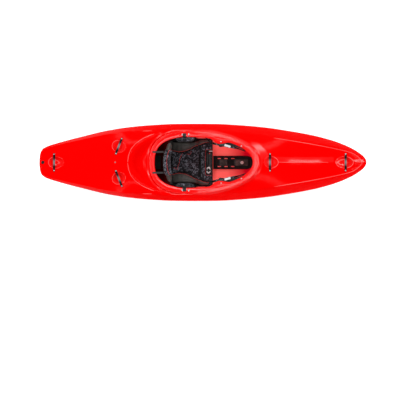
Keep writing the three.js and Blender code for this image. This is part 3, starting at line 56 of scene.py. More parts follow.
# Camera, floor and light
studio = {
    "lens": 800.0,  # far away, as the photograph's straight outlines show
    "sensor": 36.0,
    "viewWidth": 3.31,  # metres of the frame at the height of the hull's widest line
    "planeHeight": 0.2,
    "aim": (-0.0237, -0.311),
    "floorSize": 60.0,
    "floorColour": (0.93, 0.93, 0.93, 1),
    "floorGlow": 0.5,
    # strength of the sky by the height of its direction: a dark gap overhead round the camera, a bright ring of
    # lamps round it, and a dim room lower down
    "sky": [(0.0, 0.22), (0.67, 0.22), (0.685, 6.6), (0.79, 6.6), (0.805, 0.12), (1.0, 0.12)],
    "portShare": 0.35,
}


def makeCamera(s):
    data = bpy.data.cameras.new("camera")
    data.lens, data.sensor_width = s["lens"], s["sensor"]
    data.clip_end = 200
    camera = bpy.data.objects.new("camera", data)
    distance = s["viewWidth"] * s["lens"] / s["sensor"]
    camera.location = (*s["aim"], s["planeHeight"] + distance)
    scene.collection.objects.link(camera)
    scene.camera = camera


def link(tree, output, target):
    tree.links.new(output, target)


def addNode(tree, kind, inputs=None, **settings):
    made = tree.nodes.new(kind)
    for key, value in settings.items():
        setattr(made, key, value)
    for key, value in (inputs or {}).items():
        if isinstance(value, bpy.types.NodeSocket):
            link(tree, value, made.inputs[key])
        else:
            made.inputs[key].default_value = value
    return made


def makeLight(s):
    world = bpy.data.worlds.new("studio")
    world.use_nodes = True
    scene.world = world
    tree = world.node_tree
    direction = addNode(tree, "ShaderNodeTexCoord").outputs["Generated"]
    parts = addNode(tree, "ShaderNodeSeparateXYZ", {"Vector": direction})
    top = max(level for _, level in s["sky"])
    level = ramp(tree, parts.outputs["Z"], [(place, value / top) for place, value in s["sky"]])
    # a little brighter to port
    lean = arithmetic(tree, "MULTIPLY_ADD", parts.outputs["Y"], s["portShare"] * top, top)
    background = tree.nodes["Background"]
    background.inputs["Color"].default_value = (1, 1, 1, 1)
    link(tree, arithmetic(tree, "MULTIPLY", level, lean), background.inputs["Strength"])


def makeFloor(s):
    half = s["floorSize"] / 2
    mesh = bpy.data.meshes.new("floor")
    mesh.from_pydata([(-half, -half, 0), (half, -half, 0), (half, half, 0), (-half, half, 0)], [], [(0, 1, 2, 3)])
    floor = bpy.data.objects.new("floor", mesh)
    material = bpy.data.materials.new("paleFloor")
    material.use_nodes = True
    shader = material.node_tree.nodes["Principled BSDF"]
    shader.inputs["Base Color"].default_value = s["floorColour"]
    shader.inputs["Roughness"].default_value = 0.9
    shader.inputs["Emission Color"].default_value = (1, 1, 1, 1)
    shader.inputs["Emission Strength"].default_value = s["floorGlow"]
    mesh.materials.append(material)
    scene.collection.objects.link(floor)
    floor.visible_glossy = False  # the shell's sides mirror black flags, not the floor


# Materials
def newMaterial(name, colour, roughness, **more):
    material = bpy.data.materials.new(name)
    material.use_nodes = True
    tree = material.node_tree
    shader = tree.nodes["Principled BSDF"]
    shader.inputs["Base Color"].default_value = (*colour, 1)
    shader.inputs["Roughness"].default_value = roughness
    for key, value in more.items():
        shader.inputs[key.replace("_", " ")].default_value = value
    return material, tree, shader


def placed(tree, attribute=None):
    if attribute:
        return addNode(tree, "ShaderNodeAttribute", attribute_name=attribute).outputs["Vector"]
    return addNode(tree, "ShaderNodeTexCoord").outputs["Object"]


def scaled(tree, vector, scale):
    return addNode(tree, "ShaderNodeMapping", {"Vector": vector, "Scale": scale}).outputs["Vector"]


def noise(tree, vector, scale, detail=2.0, roughness=0.5):
    return addNode(tree, "ShaderNodeTexNoise", {
        "Vector": vector, "Scale": scale, "Detail": detail, "Roughness": roughness,
    }).outputs["Fac"]


def ramp(tree, value, stops):
    made = addNode(tree, "ShaderNodeValToRGB", {"Fac": value})
    elements = made.color_ramp.elements
    while len(elements) < len(stops):
        elements.new(0.5)
    for element, (place, colour) in zip(elements, stops):
        element.position = place
        element.color = (*colour, 1) if isinstance(colour, tuple) else (colour, colour, colour, 1)
    return made.outputs["Color"]


def arithmetic(tree, operation, a, b=0.0, c=0.0):
    made = addNode(tree, "ShaderNodeMath", operation=operation)
    for socket, value in zip(made.inputs, (a, b, c)):
        if isinstance(value, bpy.types.NodeSocket):
            link(tree, value, socket)
        else:
            socket.default_value = value
    return made.outputs[0]


def bumped(tree, shader, height, distance, strength=1.0):
    made = addNode(tree, "ShaderNodeBump", {"Height": height, "Distance": distance, "Strength": strength})
    link(tree, made.outputs["Normal"], shader.inputs["Normal"])


def shellMaterial(name, colours, roughness, grain, depth, **more):
    # moulded plastic: slow changes of shade, a finer change of gloss and a faint orange peel
    material, tree, shader = newMaterial(name, colours[0], roughness[0], **more)
    at = placed(tree)
    shade = ramp(tree, noise(tree, at, 3.0, 3.0), [(0.3, colours[0]), (0.7, colours[1])])
    link(tree, shade, shader.inputs["Base Color"])
    gloss = ramp(tree, noise(tree, at, 9.0, 5.0, 0.6), [(0.3, roughness[0]), (0.7, roughness[1])])
    link(tree, gloss, shader.inputs["Roughness"])
    bumped(tree, shader, noise(tree, at, grain, 2.0), depth)
    return material


def innerMaterial(name, roughness):
    # the moulding's matte inner face, its colour a ramp along its length that paints light and shade: painted shade
    # dark behind the seat, painted light pale by the heels, painted shade deep red under the foredeck; the same colour
    # is also its emission, a painted glow, and the gloss follows a ramp along it too
    material, tree, shader = newMaterial(name, (0.9, 0.05, 0.05), roughness)
    at = placed(tree)
    along = arithmetic(tree, "ADD", addNode(tree, "ShaderNodeSeparateXYZ", {"Vector": at}).outputs["X"], 0.5)
    stops = [(0.17, (0.015, 0.0, 0.0)), (0.34, (0.2, 0.002, 0.004)), (0.52, (0.95, 0.1, 0.09)), (0.7, (0.97, 0.115, 0.1)),
             (0.85, (0.6, 0.0, 0.014))]
    # painted light and shade along the inner face, used as its colour and as its glow
    paintedLightAndShade = ramp(tree, along, stops)
    link(tree, paintedLightAndShade, shader.inputs["Base Color"])
    link(tree, paintedLightAndShade, shader.inputs["Emission Color"])
    shader.inputs["Emission Strength"].default_value = 0.38
    link(tree, ramp(tree, along, [(0.2, 0.02), (0.55, 0.8), (0.7, 0.7), (0.85, 0.05)]), shader.inputs["Specular IOR Level"])
    bumped(tree, shader, noise(tree, at, 500.0, 2.0), 0.0001)
    return material


def plasticMaterial(name, colour, wearAndHighlight, roughness, grain=900.0, depth=0.00012, gloss=0.25):
    # satin moulded plastic with a fine spark-eroded grain, a little paler where it is rubbed
    material, tree, shader = newMaterial(name, colour, roughness, Specular_IOR_Level=gloss)
    at = placed(tree)
    shade = ramp(tree, noise(tree, at, 30.0, 6.0, 0.65), [(0.45, colour), (0.8, wearAndHighlight)])
    link(tree, shade, shader.inputs["Base Color"])
    polish = ramp(tree, noise(tree, at, 60.0, 3.0), [(0.3, roughness * 0.8), (0.7, roughness * 1.2)])
    link(tree, polish, shader.inputs["Roughness"])
    bumped(tree, shader, noise(tree, at, grain, 2.0), depth)
    return material


def metalMaterial(name, colour, roughness, brush):
    # brushed metal: long streaks along one way in the gloss and the bump
    material, tree, shader = newMaterial(name, colour, roughness, Metallic=1.0)
    streaks = noise(tree, scaled(tree, placed(tree), brush), 1.0, 4.0)
    link(tree, ramp(tree, streaks, [(0.3, roughness * 0.7), (0.7, roughness * 1.4)]), shader.inputs["Roughness"])
    bumped(tree, shader, streaks, 0.00004)
    return material


def barMaterial(name, colour, wearAndHighlight, roughness):
    # coated bar, painted paler along its middle as a painted highlight, by the lengthwise coordinates of the bar
    material, tree, shader = newMaterial(name, colour, roughness, Specular_IOR_Level=0.12)
    at = placed(tree, "along")
    away = arithmetic(tree, "ABSOLUTE", addNode(tree, "ShaderNodeSeparateXYZ", {"Vector": at}).outputs["X"])
    grain = arithmetic(tree, "MULTIPLY", noise(tree, placed(tree), 160.0, 3.0), 0.02)
    highlightDistance = arithmetic(tree, "ADD", away, grain)
    link(tree, ramp(tree, arithmetic(tree, "MULTIPLY", highlightDistance, 14.0), [(0.25, wearAndHighlight), (0.6, colour)]), shader.inputs["Base Color"])
    bumped(tree, shader, noise(tree, placed(tree), 700.0, 2.0), 0.00005)
    return material


def fabricMaterial(name, dark, mid, pale, scale):
    # knitted cover: pale contour lines drawn round the levels of a noise, dark blots, and a fine weave
    material, tree, shader = newMaterial(name, mid, 0.9)
    shader.inputs["Sheen Weight"].default_value = 0.06
    shader.inputs["Specular IOR Level"].default_value = 0.15
    at = placed(tree)
    levels = arithmetic(tree, "MULTIPLY", noise(tree, at, scale, 3.0, 0.6), 10.0)
    lines = arithmetic(tree, "PINGPONG", levels, 1.0)
    drawn = ramp(tree, lines, [(0.0, pale), (0.42, mid), (0.7, mid), (1.0, dark)])
    blots = ramp(tree, noise(tree, at, scale * 0.8, 2.0), [(0.40, 0.25), (0.55, 1.0)])
    colour = addNode(tree, "ShaderNodeMix", data_type="RGBA", blend_type="MULTIPLY")
    colour.inputs["Factor"].default_value = 0.75
    link(tree, drawn, colour.inputs["A"])
    link(tree, blots, colour.inputs["B"])
    link(tree, colour.outputs["Result"], shader.inputs["Base Color"])
    weave = addNode(tree, "ShaderNodeTexVoronoi", {"Vector": at, "Scale": 700.0}).outputs["Distance"]
    bumped(tree, shader, weave, 0.0005, 0.8)
    return material


def smoothClothMaterial(name, colour, pale):
    # smooth dark cover: a faint leather grain, paler where it is stretched
    material, tree, shader = newMaterial(name, colour, 0.5)
    shader.inputs["Sheen Weight"].default_value = 0.04
    shader.inputs["Specular IOR Level"].default_value = 0.3
    at = placed(tree)
    shade = ramp(tree, noise(tree, at, 22.0, 4.0, 0.6), [(0.3, colour), (0.75, pale)])
    link(tree, shade, shader.inputs["Base Color"])
    grain = addNode(tree, "ShaderNodeTexVoronoi", {"Vector": at, "Scale": 420.0}).outputs["Distance"]
    bumped(tree, shader, grain, 0.0004, 0.6)
    link(tree, ramp(tree, noise(tree, at, 40.0, 3.0), [(0.3, 0.42), (0.7, 0.6)]), shader.inputs["Roughness"])
    return material


def webbingMaterial(name, colour, pale):
    # woven strap: ribs along it and picks across it, from the strap's own lengthwise coordinates
    material, tree, shader = newMaterial(name, colour, 0.75)
    at = placed(tree, "along")
    along = addNode(tree, "ShaderNodeTexWave", {"Vector": at, "Scale": 320.0}, bands_direction="X").outputs["Fac"]
    across = addNode(tree, "ShaderNodeTexWave", {"Vector": at, "Scale": 260.0}, bands_direction="Y").outputs["Fac"]
    weave = arithmetic(tree, "MULTIPLY", along, across)
    link(tree, ramp(tree, weave, [(0.1, colour), (0.9, pale)]), shader.inputs["Base Color"])
    bumped(tree, shader, weave, 0.0004)
    return material


def foamMaterial(name, colour, pale):
    # closed-cell foam: small pits and a matte, slightly uneven face
    material, tree, shader = newMaterial(name, colour, 0.92, Specular_IOR_Level=0.1)
    at = placed(tree)
    link(tree, ramp(tree, noise(tree, at, 60.0, 5.0), [(0.3, colour), (0.8, pale)]), shader.inputs["Base Color"])
    cells = addNode(tree, "ShaderNodeTexVoronoi", {"Vector": at, "Scale": 900.0}).outputs["Distance"]
    bumped(tree, shader, cells, 0.0006, 0.7)
    return material


def threadMaterial(name, colour, pale):
    # twisted thread or corded piping: fine slanted bands
    material, tree, shader = newMaterial(name, colour, 0.65)
    twist = noise(tree, placed(tree), 500.0, 2.0)
    link(tree, ramp(tree, twist, [(0.35, colour), (0.7, pale)]), shader.inputs["Base Color"])
    bumped(tree, shader, twist, 0.0003)
    return material


makeCamera(studio)
makeLight(studio)
makeFloor(studio)
scene.view_settings.view_transform = "Standard"
print("studio: camera, light and floor made")

finishes = {
    "shellOuter": shellMaterial("shellOuter", [(0.9, 0.0, 0.0), (0.86, 0.0, 0.0)], (0.12, 0.16), 260.0, 0.00002,
                                Specular_IOR_Level=0.035),
    "shellRim": shellMaterial("shellRim", [(0.9, 0.002, 0.002), (0.88, 0.001, 0.001)], (0.14, 0.2), 260.0, 0.00002,
                              Specular_IOR_Level=0.42),
    # pale pink beads along the creases and dish edges: a painted highlight
    "shellCreaseHighlight": shellMaterial("shellCreaseHighlight", [(0.98, 0.2, 0.19), (0.95, 0.1, 0.1)], (0.25, 0.3), 400.0, 0.00002,
                                 Specular_IOR_Level=0.3),
    "shellInner": innerMaterial("shellInner", 0.6),
    "blackPlastic": plasticMaterial("blackPlastic", (0.007, 0.007, 0.007), (0.02, 0.02, 0.02), 0.38),
    "glossBlack": plasticMaterial("glossBlack", (0.005, 0.005, 0.005), (0.014, 0.014, 0.014), 0.2, 300.0, 0.00003, 0.5),
    "buckle": plasticMaterial("buckle", (0.6, 0.61, 0.61), (0.75, 0.76, 0.75), 0.35, 500.0, 0.00004),
    "greyPlastic": plasticMaterial("greyPlastic", (0.045, 0.043, 0.04), (0.2, 0.19, 0.175), 0.42),
    # its paler colour is the painted highlight along the bar's middle
    "handleBar": barMaterial("handleBar", (0.003, 0.003, 0.004), (0.16, 0.165, 0.17), 0.45),
    "whitePlastic": plasticMaterial("whitePlastic", (0.88, 0.89, 0.89), (0.93, 0.94, 0.94), 0.35, 500.0, 0.00003, 0.6),
    "greyBolt": plasticMaterial("greyBolt", (0.17, 0.19, 0.19), (0.24, 0.26, 0.26), 0.4, 500.0, 0.00003),
    "steel": metalMaterial("steel", (0.72, 0.73, 0.73), 0.34, (900, 60, 900)),
    "patternedFabric": fabricMaterial("patternedFabric", (0.004, 0.004, 0.005), (0.022, 0.023, 0.028),
                                      (0.2, 0.21, 0.25), 27.0),
    "smoothFabric": smoothClothMaterial("smoothFabric", (0.025, 0.0235, 0.021), (0.068, 0.064, 0.057)),
    "webbing": webbingMaterial("webbing", (0.01, 0.01, 0.01), (0.036, 0.038, 0.036)),
    "foam": foamMaterial("foam", (0.003, 0.003, 0.003), (0.012, 0.011, 0.01)),
    "redThread": threadMaterial("redThread", (0.42, 0.01, 0.01), (0.65, 0.03, 0.025)),
}
print("materials:", len(finishes))

# Where each carried-over node's material comes from
carried = {
    "blackPlastic": ["seat_pan", "leg_lifter", "backband_plate", "foot_rail_left", "foot_rail_right", "foot_plate"],
}
for finish, names in carried.items():
    for name in names:
        cadNodes[name].data.materials.clear()
        cadNodes[name].data.materials.append(finishes[finish])


# Numbers and grids
def mix(a, b, t):
    return a + (b - a) * t


def smooth(t):
    t = np.clip(t, 0, 1)
    return t * t * (3 - 2 * t)


def interpolate(table, place):
    # a cubic through the table's points whose slopes are the harmonic means of its neighbours', so it never overshoots
    xs, ys = np.array(table, float).T
    span = np.diff(xs)
    slope = np.diff(ys) / span
    product = slope[:-1] * slope[1:]
    middle = np.where(product > 0, 2 * product / np.where(product > 0, slope[:-1] + slope[1:], 1), 0)
    tangent = np.concatenate([slope[:1], middle, slope[-1:]])
    at = np.clip(np.asarray(place, float), xs[0], xs[-1])
    i = np.clip(np.searchsorted(xs, at, side="right") - 1, 0, len(span) - 1)
    t = (at - xs[i]) / span[i]
    u = 1 - t
    return (ys[i] * (1 + 2 * t) * u * u + span[i] * tangent[i] * t * u * u
            + ys[i + 1] * (3 - 2 * t) * t * t - span[i] * tangent[i + 1] * t * t * u)


def stack(x, y, z):
    return np.stack(np.broadcast_arrays(x, y, z), -1).astype(float)


def unit(v):
    return v / np.maximum(np.linalg.norm(v, axis=-1, keepdims=True), 1e-12)


def gridQuads(rows, cols, closeRows=False, closeCols=False):
    i, j = np.meshgrid(np.arange(rows - (not closeRows)), np.arange(cols - (not closeCols)), indexing="ij")
    i, j = i.ravel(), j.ravel()
    nextI, nextJ = (i + 1) % rows, (j + 1) % cols
    return np.stack([i * cols + j, i * cols + nextJ, nextI * cols + nextJ, nextI * cols + j], 1)


mirrorY = np.array([1.0, -1.0, 1.0])


class Shape:
    # grids of points gathered into one mesh
    def __init__(self):
        self.points, self.quads, self.finish, self.along, self.count = [], [], [], [], 0

    def grid(self, points, flip=False, finish=0, closeRows=False, closeCols=False, along=None, mask=None):
        rows, cols = points.shape[:2]
        quads = gridQuads(rows, cols, closeRows, closeCols)
        if mask is not None:
            quads = quads[mask.ravel()]
        if flip:
            quads = quads[:, ::-1]
        return self.add(points.reshape(-1, 3), quads, finish, along)

    def add(self, points, quads, finish=0, along=None):
        self.points.append(points)
        self.quads.append(quads + self.count)
        self.finish.append(np.full(len(quads), finish))
        self.along.append(np.zeros((len(points), 3)) if along is None else along.reshape(-1, 3))
        self.count += len(points)
        return self

    def both(self, points, flip=False, **more):
        self.grid(points, flip, **more)
        return self.grid(points * mirrorY, not flip, **more)

    def build(self, name, materials, slot, merge=0.00001, sharp=38.0, outward=True):
        points = np.concatenate(self.points) / 1000
        mesh = bpy.data.meshes.new(name)
        mesh.from_pydata(points.tolist(), [], np.concatenate(self.quads).tolist())
        mesh.polygons.foreach_set("material_index", np.concatenate(self.finish).astype(np.int32))
        along = mesh.attributes.new("along", "FLOAT_VECTOR", "POINT")
        along.data.foreach_set("vector", (np.concatenate(self.along) / 1000).ravel().astype(np.float32))
        work = bmesh.new()
        work.from_mesh(mesh)
        bmesh.ops.remove_doubles(work, verts=work.verts, dist=merge)
        bmesh.ops.dissolve_degenerate(work, edges=work.edges, dist=1e-7)
        if outward:
            bmesh.ops.recalc_face_normals(work, faces=work.faces)
        work.to_mesh(mesh)
        work.free()
        for finish in materials:
            mesh.materials.append(finishes[finish])
        mesh.shade_smooth()
        mesh.set_sharp_from_angle(angle=math.radians(sharp))
        piece = bpy.data.objects.new(name, mesh)
        scene.collection.objects.link(piece)
        return piece


def settle(piece, body, *replaced):
    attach(piece, body)
    if replaced:
        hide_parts(*replaced)
    return piece


def bevelled(piece, width, segments=2, angle=35.0):
    made = piece.modifiers.new("Edges", "BEVEL")
    made.width, made.segments, made.limit_method = width / 1000, segments, "ANGLE"
    made.angle_limit = math.radians(angle)
    made.harden_normals = True
    return piece


def walled(piece, thickness, offset=-1.0):
    made = piece.modifiers.new("Wall", "SOLIDIFY")
    made.thickness, made.offset = thickness / 1000, offset
    return piece


# Hull lines: station as a share of the length from mid-length, value as a share of what the name says
hull = {
    "length": 2700.0, "beam": 640.0, "height": 449.0, "wall": 6.0,
    "bowTip": 36.0, "sternTip": 22.0, "sternCorner": 42.0, "bowTipHeight": 416.0, "sternTipHeight": 331.0,
    "tipFlat": 0.02, "sternSquareness": 2.6, "bowlBend": 270.0, "bowlReach": 270.0, "ridgeLand": 12.0,
    "kneeShare": 0.3,
    "plinthWidth": 32.0, "crestRise": 2.2, "crestAt": 27.0, "crestWidth": 5.0, "plinthGloss": 38.0,
    "spineFade": 0.28, "patchFrom": 400.0, "patchReach": 96.0, "patchSides": (28.0, 168.0),
    "spines": [(610.0, 1080.0, 10.0, 44.0), (1238.0, 1325.0, 6.0, 24.0)],  # from, to, rise, half width
    "beamShares": [
        [-0.5, 0.33], [-0.493, 0.346], [-0.4744, 0.42], [-0.4378, 0.517], [-0.3641, 0.68], [-0.2907, 0.827],
        [-0.217, 0.921], [-0.1437, 0.973], [-0.0885, 0.995], [-0.024, 1], [0.04, 0.996], [0.1137, 0.963],
        [0.1874, 0.909], [0.2611, 0.818], [0.3344, 0.705], [0.3896, 0.585], [0.4263, 0.477], [0.4633, 0.328],
        [0.4815, 0.224], [0.4926, 0.157], [0.5, 0.131]],
    "keelShares": [
        [-0.5, 0.668], [-0.4533, 0.552], [-0.3793, 0.372], [-0.3052, 0.21], [-0.2307, 0.097], [-0.1567, 0.033],
        [-0.0556, 0], [0.1037, 0], [0.177, 0.023], [0.2511, 0.095], [0.3256, 0.2205], [0.3996, 0.418],
        [0.4552, 0.628], [0.4926, 0.827], [0.5, 0.873]],
    "gunwaleShares": [
        [-0.5, 0.737], [-0.4837, 0.715], [-0.4011, 0.581], [-0.2619, 0.468], [0, 0.434], [0.1222, 0.439],
        [0.2259, 0.4655], [0.3315, 0.532], [0.4052, 0.628], [0.463, 0.768], [0.5, 0.913]],
    "ridgeShares": [
        [-0.5, 0.79], [-0.4537, 0.802], [-0.3267, 0.831], [-0.2619, 0.806], [-0.1815, 0.675], [-0.1474, 0.6325],
        [-0.0815, 0.608], [0.0104, 0.606], [0.1207, 0.668], [0.1778, 0.713], [0.2448, 0.795], [0.3019, 0.831],
        [0.4119, 0.895], [0.463, 0.949], [0.5, 0.989]],
    "deckShares": [
        [-0.5, 0.797], [-0.4533, 0.826], [-0.3793, 0.871], [-0.2867, 0.906], [-0.2593, 0.909], [-0.2311, 0.889],
        [-0.2185, 0.842], [-0.2, 0.735], [-0.185, 0.664], [-0.1685, 0.632], [-0.1541, 0.626], [-0.111, 0.63],
        [-0.0852, 0.637], [-0.0456, 0.746], [0.0104, 0.902], [0.066, 0.918], [0.1207, 0.891], [0.1652, 0.876],
        [0.1844, 0.881], [0.2511, 0.882], [0.3256, 0.886], [0.3996, 0.922], [0.4367, 0.955], [0.4737, 0.993],
        [0.5, 1]],
    "rimShares": [
        [-0.17, 0.683], [-0.1196, 0.675], [-0.0826, 0.671], [-0.0456, 0.686], [0.0104, 0.737], [0.066, 0.802],
        [0.103, 0.8486], [0.14, 0.8976], [0.175, 0.92]],
    "flatShares": [[-0.5, 0.4], [-0.3, 0.42], [-0.1, 0.5], [0.12, 0.5], [0.35, 0.3], [0.5, 0.2]],
    "ridgeReachShares": [
        [-0.5, 0.86], [-0.45, 0.88], [-0.3, 0.88], [-0.2, 0.86], [-0.1, 0.835], [0.05, 0.83], [0.12, 0.8],
        [0.17, 0.75], [0.22, 0.71], [0.3, 0.69], [0.42, 0.675], [0.466, 0.6], [0.5, 0.5]],
    "crownPowers": [[-0.5, 2.2], [0.08, 2.2], [0.2, 1.7], [0.5, 1.7]],
    "flatSteps": 2, "chineSteps": 8, "sideSteps": 8, "deckSteps": 34, "slitSteps": 140, "rowStep": 7.0,
}
coaming = {
    "length": 910.0, "width": 514.0, "widest": -100.0, "rearShare": 0.374, "rearSquareness": 2.6,
    "frontSquareness": 2.0, "overhang": 14.0, "thickness": 6.0, "droop": 3.0, "riser": 24.0,
    "opening": (42.0, 48.0, 59.0), "drop": 9.0, "rearDrop": 7.5, "frontDrop": 11.0, "hook": 34.0, "hookMiddle": 225.0, "hookRear": 80.0,
    "hookFront": 110.0, "hookDrop": 8.0, "bandWidth": 27.0, "bandDrop": 0.4,
    "teeth": 3, "toothDepth": 1.7,
    "recess": (-270.0, -65.0, 1.6, 16.0),  # from, to, depth, length of its step
}
rimRear = coaming["length"] * coaming["rearShare"]
rimFront = coaming["length"] - rimRear


def oval(angle, inset):
    # two half superellipses that meet at the widest place, inset by (rear, side, front)
    c, s = np.cos(angle), np.sin(angle)
    power = 2 / np.where(c < 0, coaming["rearSquareness"], coaming["frontSquareness"])
    reach = np.where(c < 0, rimRear - inset[0], rimFront - inset[2])
    x = coaming["widest"] + np.sign(c) * reach * np.abs(c) ** power
    return x, (coaming["width"] / 2 - inset[1]) * np.abs(s) ** power


def ovalHalf(x, inset):
    away = np.asarray(x, float) - coaming["widest"]
    power = np.where(away < 0, coaming["rearSquareness"], coaming["frontSquareness"])
    reach = np.where(away < 0, rimRear - inset[0], rimFront - inset[2])
    return (coaming["width"] / 2 - inset[1]) * np.clip(1 - (np.abs(away) / reach) ** power, 0, 1) ** (1 / power)


def even(inset):
    return (inset, inset, inset)


def hookReach(x):
    away = x - coaming["widest"] - coaming["hookMiddle"]
    share = np.clip(np.abs(away) / np.where(away < 0, coaming["hookRear"], coaming["hookFront"]), 0, 1)
    return coaming["hook"] * np.cos(math.pi / 2 * share) ** 2


def openingHalf(x):
    return np.maximum(0, ovalHalf(x, coaming["opening"]) - hookReach(x))


def rimHeight(x):
    return hull["height"] * interpolate(hull["rimShares"], x / hull["length"])


def linesAt(x):
    distance = np.maximum(hull["tipFlat"], hull["length"] / 2 - np.abs(x))
    left = np.clip(1 - distance / np.where(x > 0, hull["bowTip"], hull["sternTip"]), 0, 1)
    roundness = np.sqrt(1 - left ** 2)
    square = hull["sternSquareness"]
    corner = np.clip(1 - distance / hull["sternCorner"], 0, 1)
    plan = np.where(x > 0, roundness, (1 - corner ** square) ** (1 / square))
    return roundness, hull["beam"] / 2 * interpolate(hull["beamShares"], x / hull["length"]) * plan


def heightAt(table, x, roundness, place=None):
    tip = np.where(x > 0, hull["bowTipHeight"], hull["sternTipHeight"])
    return mix(tip, hull["height"] * interpolate(hull[table], (x if place is None else place) / hull["length"]), roundness)


def outsideRiser(x, y):
    # how far a point lies outside the coaming's upright wall, along the line to the widest place
    away = x - coaming["widest"]
    power = np.where(away < 0, coaming["rearSquareness"], coaming["frontSquareness"])
    reach = np.where(away < 0, rimRear, rimFront) - coaming["overhang"]
    half = coaming["width"] / 2 - coaming["overhang"]
    size = ((np.abs(away) / reach) ** power + (np.abs(y) / half) ** power) ** (1 / power)
    return np.where(size <= 1, 0, np.hypot(away, y) * (1 - 1 / np.maximum(size, 1e-9)))


def ridgeReach(x, halfBeam):
    riser = ovalHalf(x, even(coaming["overhang"]))
    wanted = halfBeam * interpolate(hull["ridgeReachShares"], x / hull["length"])
    return np.where(riser > 0, np.maximum(wanted, riser + hull["ridgeLand"]), wanted)


def deckHeight(x, y):
    # a crown that falls as a power of the share across, whose lengthwise line is swept forward off centre behind the
    # cockpit, and that levels out to the coaming's foot
    roundness, halfBeam = linesAt(x)
    ridge = heightAt("ridgeShares", x, roundness)
    bend = hull["bowlBend"] * (y / hull["bowlReach"]) ** 2 * smooth((coaming["widest"] - x) / (rimRear - coaming["overhang"]))
    crown = heightAt("deckShares", x, roundness, x - bend)
    across = np.clip(np.abs(y) / np.maximum(ridgeReach(x, halfBeam), 1e-9), 0, 1)
    base = mix(ridge, crown, 1 - across ** interpolate(hull["crownPowers"], x / hull["length"]))
    return mix(base, rimHeight(x) - coaming["riser"], smooth(1 - outsideRiser(x, y) / hull["plinthWidth"]))


def deckDetail(x, y):
    # the fine crest along the coaming's foot and the folded spines on the centre line
    outside = outsideRiser(x, y)
    rise = hull["crestRise"] * np.exp(-((outside - hull["crestAt"]) / hull["crestWidth"]) ** 2) * (outside > 0)
    for start, end, height, half in hull["spines"]:
        fade = hull["spineFade"] * (end - start)
        window = smooth((x - start) / fade) * smooth((end - x) / fade)
        rise = rise + window * height * np.maximum(0, 1 - np.abs(y) / half) ** 1.6
    return rise


# Handle places: share of the length, share of the half beam, turn, dish length and width, how far the dish lies
# ahead as a share of its length, and which end of it is pointed
handlePlaces = {
    "bow_handle": (0.4363, 0, 0, 150.0, 104.0, -0.08, -1),
    "foredeck_handle": (0.2052, 0, 0, 118.0, 104.0, 0.1, 1),
    "stern_handle": (-0.4548, 0, 0, 132.0, 98.0, 0.13, 1),
    "rear_handle_left": (-0.257, 0.474, -0.372, 112.0, 104.0, 0.0, 0),
    "rear_handle_right": (-0.257, -0.474, 0.372, 112.0, 104.0, 0.0, 0),
}
dishes = {"depth": 56.0, "lift": 26.0, "spread": 1.129, "blend": 4.5, "edge": 2.1, "edgeUp": -1.2, "pointPower": 1.5}


def tube(shape, path, radius, sides=8, closed=False, finish=0, up=(0, 0, 1)):
    # a round cord along a path, its ends drawn in
    path = np.asarray(path, float)
    if closed:
        tangent = unit(np.roll(path, -1, 0) - np.roll(path, 1, 0))
    else:
        tangent = unit(np.gradient(path, axis=0))
    side = unit(np.cross(tangent, np.array(up, float)))
    lift = np.cross(side, tangent)
    theta = 2 * math.pi * np.arange(sides) / sides
    ring = path[:, None] + radius * (np.cos(theta)[None, :, None] * side[:, None] + np.sin(theta)[None, :, None] * lift[:, None])
    if not closed:
        cap = lambda p: np.repeat(p[None], sides, 0)[None]
        reach = np.broadcast_to(np.ravel(radius), len(path)) * 0.5
        ring = np.concatenate([cap(path[0] - tangent[0] * reach[0]), ring, cap(path[-1] + tangent[-1] * reach[-1])])
    shape.grid(ring, closeCols=True, closeRows=closed, finish=finish)
    return shape


def handleFrame(shareX, shareY, turn):
    # origin on the deck; rows of the matrix are ahead, to port and up, square to the deck
    x = shareX * hull["length"]
    y = shareY * linesAt(np.array(x))[1]
    step = hull["wall"]
    slopeX = (deckHeight(x + step, y) - deckHeight(x - step, y)) / (2 * step)
    slopeY = (deckHeight(x, y + step) - deckHeight(x, y - step)) / (2 * step)
    up = unit(stack(-slopeX, -slopeY, 1.0))
    side = unit(np.cross(up, [math.cos(turn), math.sin(turn), 0]))
    return stack(x, y, deckHeight(x, y)), np.array([np.cross(side, up), side, up])


handleFrames = {name: handleFrame(*spec[:3]) for name, spec in handlePlaces.items()}


def dished(points):
    # each dish is a leaf-shaped bowl; the deck meets it by a smooth minimum, measured square to the deck there
    moved = points.copy()
    for name, (_, _, _, length, width, ahead, pointed) in handlePlaces.items():
        origin, axes = handleFrames[name]
        local = (moved - origin) @ axes.T
        a = (local[..., 0] - ahead * length) / (length / 2 * dishes["spread"])
        b = local[..., 1] / (width / 2 * dishes["spread"])
        sharp = (a * pointed > 0) & (pointed != 0)
        inside = 1 - np.abs(a) ** np.where(sharp, dishes["pointPower"], 2.0) - b ** 2
        bowl = dishes["lift"] - dishes["depth"] * np.sqrt(np.clip(inside, 0, 1))
        bowl = np.where(inside > 0, bowl, dishes["lift"])
        level, k = local[..., 2], dishes["blend"]
        h = np.clip(0.5 + 0.5 * (bowl - level) / k, 0, 1)
        lower = mix(bowl, level, h) - k * h * (1 - h)
        near = (np.abs(a) < 1.3) & (np.abs(b) < 1.3)
        moved = moved + np.where(near, lower - level, 0)[..., None] * axes[2]
    return moved


def inDish(points):
    # whether each point lies in a dish, for the finish of its lining
    found = np.zeros(points.shape[:-1], bool)
    for name, (_, _, _, length, width, ahead, _) in handlePlaces.items():
        origin, axes = handleFrames[name]
        local = (points - origin) @ axes.T
        inside = ((local[..., 0] / length - ahead) * 2) ** 2 + (local[..., 1] / width * 2) ** 2 < 1
        found |= inside & (np.abs(local[..., 2]) < 60) & (local[..., 2] < -2)
    return found


